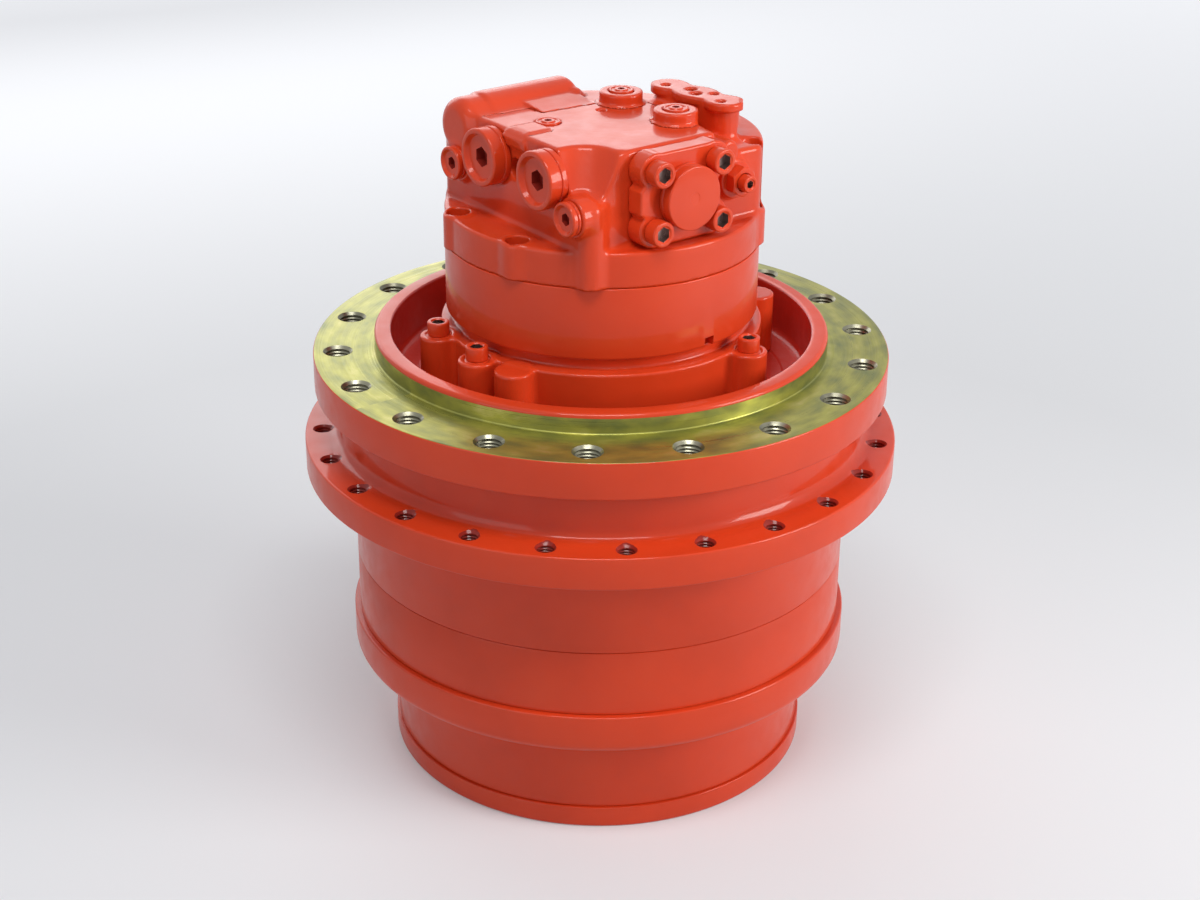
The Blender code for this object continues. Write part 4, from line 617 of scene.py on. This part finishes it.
def threaded_hole(crest, root, pitch, low, high, chamfer=0.5):
    """Profile of a cutter for a tapped hole with a chamfered mouth at each end."""
    mouth = root + chamfer
    points = [(0, low - OVERRUN), (mouth + OVERRUN, low - OVERRUN), (crest, low + mouth - crest)]
    z = low + mouth - crest + 0.2
    while z + pitch < high - mouth + crest:
        points += [(crest, z), (root, z + pitch * 0.5), (crest, z + pitch * 0.9)]
        z += pitch
    points += [(crest, high - mouth + crest), (mouth + OVERRUN, high + OVERRUN), (0, high + OVERRUN)]
    return points


def toothed_ring(name, radius, bottom, top, teeth, module, edge):
    """Ring with a smooth outside and a toothed bore, skinned between outlines with equal point counts."""
    inside = tooth_hole(teeth, module)
    angles = [atan2(y, x) for x, y in inside]
    outside = (
        (radius - 0.4, bottom),
        (radius, bottom + 0.4),
        (radius, top - edge),
        (radius - edge * 0.3, top - edge * 0.3),
        (radius - edge, top),
    )
    rings = [[(r * cos(a), r * sin(a), z) for a in angles] for r, z in outside]
    rings += [[(x, y, z) for x, y in inside] for z in (top, bottom)]
    return new_object(name, rings_mesh(rings, True), [RED])


def build_lower_case():
    bore_top = CARRIER_2_BOTTOM - 2.0
    profile = filleted([
        (CASE_RADIUS, CASE_BOTTOM, 0.7),
        (CASE_RADIUS, CASE_STEP, 3.0),
        (RIM_RADIUS, CASE_STEP, 7.0),
        (RIM_RADIUS, RIM_TOP, 1.6),
        (158.0, RIM_TOP, 0.4),
        (158.0, bore_top, 0),
        (114.0, bore_top, 0),
        (114.0, CASE_BOTTOM, 0),
    ])
    case = new_object("lower_case", turned(profile), [RED])
    boolean(case, prism(tooth_hole(48, 5.0), CASE_BOTTOM - 10, CARRIER_2_BOTTOM + 10))
    settle_piece(case, "hub", "red_enamel", "ring_gear_1")


def build_cover():
    spigot = COVER_SPIGOT - GAP
    profile = filleted([
        (0, 4.0, 0),
        (124.0, 4.0, 2.5),
        (124.0, 0, 1.5),
        (159.4, 0, 2.6),
        (159.4, COVER_TOP, 0.7),
        (spigot, COVER_TOP, 0),
        (spigot, 21.8, 0.8),
        (0, 21.8, 0),
    ])
    cover = new_object("cover_plate", turned(profile), [RED, SOCKET])
    plug_places = round_places(COVER_PLUG_CIRCLE, 2, 0)
    screw_places = round_places(COVER_SCREW_CIRCLE, 12, 15)
    plug_holes = [prism(circle(13.3, SMALL_STEPS), -8, 30, place) for place in plug_places]
    seats = [prism(circle(7.6, SMALL_STEPS), -8, 6, place) for place in screw_places]
    boolean(cover, joined(plug_holes + seats))
    settle_piece(cover, "hub", "red_enamel", "end_cover")

    profile = filleted([(0, 4.2, 0), (13.0, 4.2, 1.2), (13.0, 21.6, 1.0), (0, 21.6, 0)], closed=False)
    for number, place in enumerate(plug_places, 1):
        plug = new_object(f"drain_plug_{number}", turned(profile, SMALL_STEPS, place), [DARK, SOCKET])
        boolean(plug, prism(hexagon(12.0), -2, 12, place), index=1)
        settle_piece(plug, "hub", "dark_steel", f"cover_plug_{number}")

    profile = filleted([(0, 0.6, 0), (7.0, 0.6, 0.9), (7.0, 5.8, 0.3), (0, 5.8, 0)])
    shapes = [turned(profile, 32, place) for place in screw_places]
    screws = new_object("cover_screws", joined(shapes), [DARK, SOCKET])
    boolean(screws, joined([prism(hexagon(8.0), -3, 4.5, place) for place in screw_places]), index=1)
    settle_piece(screws, "hub", "dark_steel")


# Spindle


def build_spindle():
    pocket, faced, tapped = 1, 2, 3
    outside = filleted([
        (0, 163.8, 0),
        (150.0, 163.8, 1.0),
        (150.0, 242.0, 0),
        (157.0, 242.0, 0),
        (168.3, 261.1, 0),
        (168.3, 284.0, 0),
        (176.0, 284.0, 0),
        (176.0, FRAME_BOTTOM, 2.0),
        (FRAME_RADIUS, FRAME_BOTTOM, 1.4),
        (FRAME_RADIUS, FRAME_FACE, 1.4),
        (PILOT_RADIUS, FRAME_FACE, 1.2),
        (PILOT_RADIUS, PILOT_TOP, 3.0),
        (POCKET_RADIUS, PILOT_TOP, 1.6),
        (POCKET_RADIUS, POCKET_FLOOR, 7.0),
        (136.0, POCKET_FLOOR, 1.0),
        (134.5, POCKET_FLOOR - 0.7, 0.8),
        (0, POCKET_FLOOR - 0.7, 0),
    ], closed=False)
    spindle = new_object("spindle", turned(outside), [RED, RED_SHADED_POCKET, CHROMATE, HOLE])
    inside = [
        (0, POCKET_FLOOR + 10), (100.0, POCKET_FLOOR + 10), (100.0, SPIGOT_FLOOR), (30.0, SPIGOT_FLOOR),
        (30.0, 242.0), (112.0, 242.0), (112.0, 182.9), (120.0, 182.9), (120.0, 150.0), (0, 150.0),
    ]
    boolean(spindle, turned(inside, 96), index=pocket)
    tap = threaded_hole(8.75, 10.0, 2.5, FRAME_BOTTOM, FRAME_FACE, 0.8)
    places = round_places(FRAME_CIRCLE, 18, 10)
    boolean(spindle, joined([turned(tap, 24, place) for place in places]), index=tapped)
    for face in spindle.data.polygons:
        if face.material_index == tapped:
            continue
        x, y, z = face.center / MM
        radius = sqrt(x * x + y * y)
        on_face = PILOT_RADIUS - 0.8 < radius < FRAME_RADIUS - 0.8
        if on_face and FRAME_FACE - 0.5 < z < PILOT_TOP - 2.6:
            face.material_index = faced
        # Faces inside the pocket take the darker red, which is painted shade.
        elif z > SPIGOT_FLOOR and radius < 155.0:
            face.material_index = pocket
    settle_piece(spindle, "fixed_parts", "red_enamel", "spindle_housing")


# Motor flange and casing


def flange_field(p):
    x, y, z = p.T
    around = np.hypot(x, y)
    spigot = meet(around - 97.7, 262.3 - z, 1.5)
    disc = meet(around - 117.0, MOTOR_BOTTOM - z, 0.6)
    body = meet(disc, z - MOTOR_FLANGE_TOP, 1.2)
    for angle in FLANGE_LOBE_ANGLES:
        spot = polar(FLANGE_CIRCLE, angle)
        lobe = meet(drum(p, spot.x, spot.y, 13.3), between(z, MOTOR_BOTTOM, MOTOR_FLANGE_TOP), 1.2)
        body = union(body, lobe, 5.0)
    for angle in FLANGE_BOLT_ANGLES:
        spot = polar(FLANGE_CIRCLE, angle)
        seat = np.maximum(drum(p, spot.x, spot.y, 9.4), MOTOR_FLANGE_TOP - 0.9 - z)
        body = without(body, np.maximum(seat, 8.1 - np.hypot(x - spot.x, y - spot.y)), 0.3)
    neck = meet(around - 107.0, between(z, MOTOR_BOTTOM, MOTOR_NECK_TOP), 0.5)
    body = union(body, neck, 2.0)
    body = meet(body, z - MOTOR_NECK_TOP)
    body = union(body, meet(spigot, z - MOTOR_BOTTOM - 5))
    room = meet(around - 84.0, 306.0 - z, 1.0)
    bearing = meet(around - 40.3, 271.7 - z)
    body = without(body, np.minimum(np.minimum(room, bearing), around - 22.0))
    cradle = np.maximum(between(np.abs(x), 28.0, 48.0), between(y, -15.0, 15.0))
    cradle = np.maximum(cradle, between(z, 300.0, SWASH_PIVOT - 14.0))
    cradle = without(cradle, np.hypot(y, z - SWASH_PIVOT) - 23.8)
    body = union(body, cradle)
    for angle in FLANGE_BOLT_ANGLES:
        spot = polar(FLANGE_CIRCLE, angle)
        body = without(body, drum(p, spot.x, spot.y, 5.5))
    nick_x, nick_y = 111.5 * cos(radians(-122)), 111.5 * sin(radians(-122))
    nick = np.maximum(np.abs(z - 347.0) - 4.0, np.hypot(x - nick_x, y - nick_y) - 2.0)
    return without(body, nick, 0.5)


def build_motor_flange():
    low, high = (-142, -142, 258), (142, 142, 356)
    flange = cast("flange_casting", flange_field, low, high, CAST_STEP, [RED_CAST])
    settle_piece(flange, "fixed_parts", "red_enamel", "motor_flange")


def build_casing():
    profile = filleted([
        (CASING_RADIUS, CASING_BOTTOM, 2.0),
        (CASING_RADIUS, CASING_TOP, 0.8),
        (98.0, CASING_TOP, 0),
        (98.0, CASING_BOTTOM + 19.5, 0),
        (86.0, CASING_BOTTOM + 19.5, 0),
        (86.0, CASING_BOTTOM, 0.5),
    ])
    casing = new_object("casing_drum", turned(profile), [RED])
    place = Matrix.Translation(polar(CASING_RADIUS, NOTCH_ANGLE, CASING_BOTTOM))
    place = place @ Matrix.Rotation(radians(NOTCH_ANGLE), 4, "Z")
    notch = prism([(-7, -4.25), (7, -4.25), (7, 4.25), (-7, 4.25)], -7, 7, place)
    places = [Matrix.Translation(polar(HEAD_CIRCLE, angle)) for angle in HEAD_BOLT_ANGLES]
    bolt_holes = [prism(circle(4.3, 24), 360, 430, place) for place in places]
    boolean(casing, joined([notch, *bolt_holes]))
    settle_piece(casing, "fixed_parts", "red_enamel", "motor_casing")


# Head casting


PLATEAU = [
    (-84, 70), (-84, -52), (-52, -92), (29, -92), (34, -64),
    (43, -22), (44, 4), (30, 44), (10, 58), (-20, 86),
]
RAMP = [(-39, 19), (5, 16), (8, 60), (-56, 60), (-56, 52), (-41, 45)]
CORNER = (cos(radians(-131)), sin(radians(-131)))


def pad_coords(x, y):
    """Distances along and across the pad from its middle."""
    along = (x - PAD_CENTRE[0]) * cos(PAD_TURN) + (y - PAD_CENTRE[1]) * sin(PAD_TURN)
    across = (y - PAD_CENTRE[1]) * cos(PAD_TURN) - (x - PAD_CENTRE[0]) * sin(PAD_TURN)
    return along, across


def pad_outline(x, y):
    along, across = pad_coords(x, y)
    ends = np.hypot(np.abs(along) - 28.0, across) - 13.3
    bar = np.maximum(np.abs(across) - 10.0, np.abs(along) - 28.0)
    middle = np.hypot(along, across) - 13.3
    return union(union(ends, bar, 4.0), middle, 8.0)


def pad_column(x, y):
    along, across = pad_coords(x, y)
    return np.hypot(np.maximum(np.abs(along) - 27.0, 0), across) - 10.8


def head_base(p):
    """Flange of the head and its lugs."""
    x, y, z = p.T
    base = meet(np.hypot(x, y) - HEAD_RADIUS, z - LEDGE, 2.2)
    for angle in HEAD_BOLT_ANGLES:
        spot = polar(HEAD_CIRCLE, angle)
        base = union(base, meet(drum(p, spot.x, spot.y, 10.8), z - LEDGE, 2.2), 4.0)
    return base


def head_block(p):
    """Block with its plateau, its lower shoulder, its leaning corner and the scoop in it."""
    x, y, z = p.T
    around = np.hypot(x, y)
    toward = x * CORNER[0] + y * CORNER[1]
    across = x * -CORNER[1] + y * CORNER[0]
    outer = union(around - HEAD_RADIUS, np.maximum(toward - 118.5, 60 - toward), 1.0)
    block = meet(outer, PORT_FACE_X - x, 2.6)
    block = meet(block, CAP_FACE_Y - y, 2.6)
    lean = (toward + 0.68 * (z - 464.0) - 118.5) / 1.21
    block = meet(block, lean, 3.0)
    plateau = meet(z - HEAD_TOP, polygon(x, y, PLATEAU), 4.0)
    shoulder = z - 481.5 + 0.05 * np.maximum(around - 60, 0) - 3.0 * np.clip(toward - 66.0, 0, 8)
    shoulder = np.maximum(shoulder, z - HEAD_TOP)
    block = meet(block, np.maximum(union(plateau, shoulder, 9.0), z - HEAD_TOP), 3.5)
    scoop = np.hypot(lean - 20.0, across + 5.0) - 28.5
    return without(block, meet(scoop, 465.5 - z, 6.0), 2.2)


def add_bulge(p, body):
    """Long bulge at the back, in two parts."""
    x = p[:, 0]
    barrel = rod_x(p, 58.0, 484.2, 0)
    tip = meet(barrel - 20.5, between(x, -87.8, -60.0), 9.0)
    trunk = meet(barrel - 22.0, between(x, -69.0, 12.0), 6.0)
    return union(body, union(tip, trunk, 0.8), 5.0)


def add_top(p, body):
    """Ramp, bosses, pad and nub on top."""
    x, y, z = p.T
    rise = 3.0 * np.clip((y - 18.0) / 24.0, 0, 1)
    ramp = np.maximum(polygon(x, y, RAMP), between(z, 480.0, HEAD_TOP + 0.2 + rise))
    body = union(body, ramp, 0.8)
    for bx, by in BOSSES:
        boss = meet(drum(p, bx, by, 15.5), between(z, 450.0, BOSS_TOP), 1.2)
        body = union(body, boss, 2.5)
    column = np.maximum(pad_column(x, y), between(z, 470.0, 505.0))
    body = union(body, column, 7.0)
    body = union(body, meet(pad_outline(x, y), between(z, 501.7, 507.7), 0.9), 0.6)
    nub = np.sqrt((x - 7.0) ** 2 + (y - 41.5) ** 2 + (z - 496.5) ** 2) - 4.6
    return union(body, nub, 3.0)


def add_port_bump(p, body):
    """Faceted bump on the port face's top edge."""
    x, y, z = p.T
    bump = np.maximum(between(y, -22.5, 6.5), between(x, -84.3, -60.0))
    bump = np.maximum(bump, 486.0 - z)
    bump = np.maximum(bump, (z - HEAD_TOP - 0.6 + 0.55 * np.maximum(0, -x - 76.0)))
    bump = meet(bump, np.maximum(y - 6.5, -22.5 - y) + 0.7 * np.maximum(0, z - 490.0), 1.5)
    return union(body, bump, 3.0)


def add_face_bosses(p, body):
    """Bosses on the port face and on the cap face."""
    x, y = p[:, 0], p[:, 1]
    for (by, bz), reach in zip(SIDE_PLUGS, (22.0, 8.0)):
        boss = meet(rod_x(p, by, bz, 14.0), between(x, PORT_FACE_X - 4.5, PORT_FACE_X + reach), 1.0)
        body = union(body, boss, 4.0)
    boss = meet(rod_y(p, *ADJUSTER, 13.8), between(y, CAP_FACE_Y - 6.0, -60.0), 1.2)
    body = union(body, boss, 4.0)
    boss = rod_y(p, ADJUSTER[0] - 5.0, ADJUSTER[1] + 20.0, 8.0)
    return union(body, meet(boss, between(y, CAP_FACE_Y - 4.0, -60.0), 2.5), 4.0)


def head_field(p):
    z = p[:, 2]
    body = union(head_base(p), head_block(p), 4.5)
    column = meet(drum(p, -72.2, -83.0, 8.8), z - 463.5, 3.0)
    body = union(body, column, 4.0)
    for add in (add_bulge, add_top, add_port_bump, add_face_bosses):
        body = add(p, body)
    return np.maximum(cut_recesses(p, cut_bores(p, body)), HEAD_BOTTOM - z)


def cut_bores(p, body):
    """The head without its bolt sinks and the bores of its plugs and screws."""
    x, y, z = p.T
    for angle in HEAD_BOLT_ANGLES:
        spot = polar(HEAD_CIRCLE, angle)
        sink = meet(drum(p, spot.x, spot.y, 8.4), SINK_FLOOR - z)
        body = without(body, sink, 0.9)
        body = without(body, drum(p, spot.x, spot.y, 4.4))
    for py, pz in PORT_PLUGS:
        body = without(body, np.maximum(rod_x(p, py, pz, 21.7), x - PORT_SEAT_X), 0.4)
        body = without(body, np.maximum(rod_x(p, py, pz, 14.8), x - PORT_BORE_X))
    for py, pz in SIDE_PLUGS:
        body = without(body, np.maximum(rod_x(p, py, pz, 9.0), x - PORT_BORE_X))
    cx, cz = CAP_CENTRE
    body = without(body, np.maximum(rod_y(p, cx, cz, 13.4), y - 30.0))
    for sx, sz in CAP_SCREWS:
        body = without(body, np.maximum(rod_y(p, cx + sx, cz + sz, 6.4), y - CAP_BORE_Y))
    body = without(body, np.maximum(rod_y(p, *ADJUSTER, 6.4), y - CAP_BORE_Y))
    for (gx, gy), gz in zip((*BOSSES, FLAT_PLUG), (BOSS_TOP, BOSS_TOP, HEAD_TOP)):
        body = without(body, np.maximum(drum(p, gx, gy, 9.2), gz - 3.0 - z), 0.4)
    return without(body, np.maximum(np.hypot(x, y) - 30.8, z - 422.9))


def cut_recesses(p, body):
    """The head without the pad's holes, the small hole, the recessed port and the crescent."""
    x, y, z = p.T
    for along, across, radius in PAD_HOLES:
        hx = PAD_CENTRE[0] + along * cos(PAD_TURN) - across * sin(PAD_TURN)
        hy = PAD_CENTRE[1] + along * sin(PAD_TURN) + across * cos(PAD_TURN)
        body = without(body, np.maximum(drum(p, hx, hy, radius), 500.0 - z), 0.5)
    body = without(body, np.maximum(drum(p, *TOP_HOLE, 3.2), HEAD_TOP - 4.0 - z), 0.4)
    port = meet(rod_x(p, *SMALL_PORT, 7.6), x + 74.0, 0.5)
    body = without(body, np.minimum(port, np.maximum(rod_x(p, *SMALL_PORT, 5.2), x + 60.0)), 0.6)
    crescent = np.sqrt((x - 72.0) ** 2 + (y + 70.0) ** 2 + (z - 484.0) ** 2) - 7.5
    return without(body, crescent, 2.0)


def build_head():
    low, high = (-124, -126, 400), (124, 124, 514)
    head = cast("head_casting", head_field, low, high, CAST_STEP, [RED_CAST])
    settle_piece(head, "fixed_parts", "red_enamel", "rear_head")


# Plugs, screws and the valve cap


def on_port_face(y, z, out=0.0):
    return Matrix.Translation((PORT_FACE_X - out, y, z)) @ facing((-1, 0, 0))


def on_cap_face(x, z, out=0.0):
    return Matrix.Translation((x, CAP_FACE_Y - out, z)) @ facing((0, -1, 0))


def screw_plug(name, node, place, radius, height, shank, socket):
    """Screw-in plug: grooved collar, rim, coned sunk middle and a hexagon socket."""
    rim = radius * 0.83
    groove = height * 0.30
    floor = height - radius * 0.17
    profile = filleted([
        (0, -15.9, 0),
        (shank, -15.9, 0.8),
        (shank, GAP, 0),
        (radius, GAP, 0.6),
        (radius, groove, 0.3),
        (radius - 0.9, groove + 0.5, 0.3),
        (radius - 0.9, groove + 1.1, 0.3),
        (radius, groove + 1.6, 0.3),
        (radius, height, 1.3),
        (rim, height, 0.7),
        (rim - 1.8, floor, 0.8),
        (0, floor, 0),
    ], closed=False, steps=4)
    obj = new_object(name, turned(profile, SMALL_STEPS, place), [RED, RED_THREAD])
    boolean(obj, prism(hexagon(socket, pi / 2), floor - socket * 0.55, height + 8, place), index=1)
    settle_piece(obj, "fixed_parts", "red_enamel", node)


def cap_screw(name, node, place, radius, height, shank, length, socket, slot="red_enamel"):
    """Socket head screw, with the underside of its head on z = 0."""
    profile = filleted([
        (0, -length, 0),
        (shank, -length, 0.8),
        (shank, 0, 0),
        (radius, 0, 0.5),
        (radius, height, radius * 0.13),
        (socket * 0.66, height, 0.5),
        (socket * 0.56, height - 0.9, 0.3),
        (0, height - 0.9, 0),
    ], closed=False, steps=4)
    obj = new_object(name, turned(profile, SMALL_STEPS, place), [RED, SOCKET])
    boolean(obj, prism(hexagon(socket, pi / 2), height * 0.40, height + 6, place), index=1)
    settle_piece(obj, "fixed_parts", slot, node)


def build_fasteners():
    for number, angle in enumerate(FLANGE_BOLT_ANGLES, 1):
        place = Matrix.Translation(polar(FLANGE_CIRCLE, angle, MOTOR_FLANGE_TOP + GAP))
        cap_screw(f"flange_screw_{number}", f"motor_flange_bolt_{number}", place,
                  radius=7.9, height=9.8, shank=5.0, length=30.0, socket=8.0)
    for number, angle in enumerate(HEAD_BOLT_ANGLES, 1):
        place = Matrix.Translation(polar(HEAD_CIRCLE, angle, SINK_FLOOR + GAP))
        cap_screw(f"head_screw_{number}", f"head_bolt_{number}", place,
                  radius=7.4, height=7.4, shank=4.0, length=45.0, socket=8.0, slot="dark_steel")
    for number, (sx, sz) in enumerate(CAP_SCREWS, 1):
        place = on_cap_face(CAP_CENTRE[0] + sx, CAP_CENTRE[1] + sz, 14.8)
        cap_screw(f"cap_screw_{number}", f"valve_cap_screw_{cap_number(sx, sz)}", place,
                  radius=8.9, height=10.4, shank=6.0, length=30.0, socket=9.5)


def cap_number(sx, sz):
    """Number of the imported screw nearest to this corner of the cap."""
    best = {}
    for number in range(1, 5):
        low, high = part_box(f"valve_cap_screw_{number}")
        middle = (low + high) / 2 / MM
        best[number] = abs(middle.x - CAP_CENTRE[0] - sx) + abs(middle.z - CAP_CENTRE[1] - sz)
    return min(best, key=best.get)


def build_plugs():
    for number, (y, z) in enumerate(PORT_PLUGS, 1):
        screw_plug(f"port_plug_body_{number}", f"port_plug_{number}", on_port_face(y, z, -0.8),
                   radius=20.4, height=14.7, shank=14.2, socket=13.0)
    for number, (y, z) in enumerate(SIDE_PLUGS, 1):
        screw_plug(f"side_plug_body_{number}", f"side_plug_{number}", on_port_face(y, z, 4.5),
                   radius=12.1, height=6.9, shank=8.4, socket=8.0)
    profile = filleted([
        (0, -2.7, 0), (8.6, -2.7, 0), (8.6, 1.0, 0.5), (7.4, 1.0, 0.3), (6.8, 0.4, 0.3),
        (5.2, 0.4, 0.3), (4.6, 1.4, 0.4), (0, 1.4, 0),
    ], closed=False, steps=3)
    spots = [(*spot, BOSS_TOP) for spot in BOSSES] + [(*FLAT_PLUG, HEAD_TOP)]
    for number, spot in enumerate(spots, 1):
        place = Matrix.Translation(spot)
        obj = new_object(f"gauge_plug_body_{number}", turned(profile, SMALL_STEPS, place), [RED, RED_THREAD])
        boolean(obj, prism(hexagon(5.0), -0.8, 4, place), index=1)
        settle_piece(obj, "fixed_parts", "red_enamel", f"gauge_plug_{number}")


def cap_field(p):
    """Valve cap on its face: x and y run across it, z out of it."""
    x, y, z = p.T
    lobes = np.hypot(np.abs(x) - 25.9, np.abs(y) - 20.5) - 12.2
    body = np.maximum(np.abs(x) - 29.0, np.abs(y) - 24.0)
    block = np.maximum(np.abs(x + 19.0) - 18.6, np.abs(y) - 12.0)
    block = np.maximum(block, (-x + np.abs(y) - 45.5) / sqrt(2))
    outline = union(union(lobes, body, 6.0), np.maximum(np.abs(x) - 26.0, np.abs(y) - 32.4), 1.5)
    outline = union(outline, block, 1.5)
    cap = meet(outline, between(z, GAP, 14.5), 1.4)
    for sx, sy in CAP_SCREWS:
        cap = without(cap, np.hypot(x - sx, y - sy) - 6.4)
    return without(cap, np.hypot(x, y) - 16.6)


def build_valve_cap():
    place = on_cap_face(*CAP_CENTRE)
    cap = cast("cap_casting", cap_field, (-42, -38, -3), (42, 38, 18), FINE_STEP, [RED])
    cap.data.transform(Matrix.Scale(MM, 4) @ place @ Matrix.Scale(1 / MM, 4))
    settle_piece(cap, "fixed_parts", "red_enamel", "valve_cap")

    profile = filleted([
        (0, 0.4, 0), (15.7, 0.4, 0), (15.7, 14.8, 0), (22.4, 14.8, 0.5),
        (22.4, 17.2, 0.4), (21.4, 17.9, 0.4), (22.4, 18.6, 0.4), (22.4, 25.3, 1.0),
        (4.2, 25.3, 0.2), (4.0, 25.1, 0.2), (0, 25.1, 0),
    ], closed=False, steps=4)
    disc = new_object("cap_plug_body", turned(profile, SMALL_STEPS * 2, place), [RED])
    settle_piece(disc, "fixed_parts", "red_enamel", "valve_cap_plug")


def build_adjuster():
    place = on_cap_face(*ADJUSTER, 6.3)
    nut = new_object("locknut", prism(hexagon(19.0, pi / 2), 0, 8, place), [RED])
    cone = [(0, -0.1), (10.4, -0.1), (11.4, 0.9), (11.4, 6.6), (9.2, 8.1), (0, 8.1)]
    bore = [(0, -2), (6.3, -2), (6.3, 7.0), (7.6, 9.0), (0, 9.0)]
    boolean(nut, turned(cone, SMALL_STEPS, place), "INTERSECT")
    boolean(nut, turned(bore, SMALL_STEPS, place))
    settle_piece(nut, "fixed_parts", "red_enamel", "adjuster_locknut")
    profile = filleted([
        (0, -21.9, 0), (5.9, -21.9, 0.8), (5.9, 14.6, 0.9), (3.9, 14.6, 0.3), (3.3, 13.8, 0), (0, 13.8, 0),
    ], closed=False)
    stem = new_object("set_screw", turned(profile, SMALL_STEPS, place), [RED, SOCKET])
    boolean(stem, prism(hexagon(5.0, pi / 2), 8, 18, place), index=1)
    settle_piece(stem, "fixed_parts", "red_enamel", "adjuster_screw")


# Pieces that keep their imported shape


def dress_inner_nodes():
    looks = {
        "gear": GEAR, "planet": GEAR, "swash": GEAR, "carrier": BARE, "shaft": BARE, "bearing": BARE,
        "spool": BARE, "block": BARE, "seal": DARK, "nut": DARK, "brake": DARK,
        "washer": BRONZE, "valve_plate": BRONZE, "pistons_and": BRONZE,
    }
    for name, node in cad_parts.items():
        made = next((look for key, look in looks.items() if key in name), RED)
        node.data.materials.clear()
        node.data.materials.append(made)


# Stage


def background_rays(tree):
    """One for the rays that see the pale background: camera, glossy and transmission rays."""
    paths = tree.nodes.new("ShaderNodeLightPath")
    seen = paths.outputs["Is Camera Ray"]
    for name in ("Is Glossy Ray", "Is Transmission Ray"):
        either = tree.nodes.new("ShaderNodeMath")
        either.operation = "MAXIMUM"
        tree.links.new(seen, either.inputs[0])
        tree.links.new(paths.outputs[name], either.inputs[1])
        seen = either.outputs[0]
    return seen


def area_light(name, energy, size, place, target, colour=(1, 1, 1)):
    data = bpy.data.lights.new(name, "AREA")
    data.energy = energy
    data.shape = "RECTANGLE"
    data.size, data.size_y = size
    data.color = colour
    lamp = bpy.data.objects.new(name, data)
    bpy.context.scene.collection.objects.link(lamp)
    lamp.location = place
    lamp.rotation_euler = (Vector(target) - Vector(place)).to_track_quat("-Z", "Y").to_euler()


def build_floor():
    """Pale paper, a little brighter to the camera far from the object."""
    floor = new_object("floor", prism(circle(4000.0, 64), -12.0, 0.0), [])
    look = Look("floor_paper", (0.62, 0.63, 0.65), 0.7)
    look.set("Emission Color", (0.80, 0.81, 0.84, 1.0))
    distance = look.node("ShaderNodeVectorMath", operation="LENGTH")
    look.link(look.coords, distance.inputs[0])
    level = look.spread(distance.outputs["Value"], 0.20, 0.92, 0.8, 3.2)
    seen = look.node("ShaderNodeMath", operation="MULTIPLY")
    look.link(background_rays(look.tree), seen.inputs[0])
    look.link(level, seen.inputs[1])
    look.drive("Emission Strength", seen.outputs[0])
    look.bump(look.noise(2.5, 3), 0.02)
    floor.data.materials.append(look.material)


def build_world():
    """Pale to the rays that see it, and dim as a light."""
    world = bpy.data.worlds.new("studio")
    bpy.context.scene.world = world
    world.use_nodes = True
    back = world.node_tree.nodes["Background"]
    back.inputs["Color"].default_value = (0.82, 0.83, 0.86, 1)
    level = world.node_tree.nodes.new("ShaderNodeMapRange")
    level.inputs["To Min"].default_value = 0.24
    level.inputs["To Max"].default_value = 0.95
    world.node_tree.links.new(background_rays(world.node_tree), level.inputs["Value"])
    world.node_tree.links.new(level.outputs["Result"], back.inputs["Strength"])


def build_lights():
    middle = (0, 0, 0.28)
    area_light("key", 29.0, (0.9, 0.9), (1.05, -1.65, 0.95), middle, (1, 0.98, 0.95))
    area_light("overhead", 17.0, (0.95, 0.50), (-0.50, -0.66, 1.95), middle)
    area_light("back_softbox", 17.0, (2.2, 1.3), (0.55, 1.95, 1.15), (0, 0, 0.40))
    area_light("fill", 6.0, (1.2, 1.2), (-2.0, -0.3, 0.9), middle, (0.95, 0.97, 1))


def build_camera():
    data = bpy.data.cameras.new("camera")
    data.lens = 63.36
    data.sensor_width = 36.0
    data.clip_end = 20.0
    camera = bpy.data.objects.new("camera", data)
    bpy.context.scene.collection.objects.link(camera)
    camera.location = CAMERA_TARGET + CAMERA_BACK * CAMERA_DISTANCE
    facing_back = CAMERA_BACK.to_track_quat("Z", "Y").to_matrix().to_4x4()
    camera.rotation_euler = (facing_back @ Matrix.Rotation(CAMERA_ROLL, 4, "Z")).to_euler()
    bpy.context.scene.camera = camera


build_hub()
build_upper_ring()
build_lower_case()
build_cover()
build_spindle()
build_motor_flange()
build_casing()
build_head()
build_plugs()
build_fasteners()
build_valve_cap()
build_adjuster()
dress_inner_nodes()
build_floor()
build_world()
build_lights()
build_camera()
bpy.context.scene.view_settings.view_transform = "Standard"
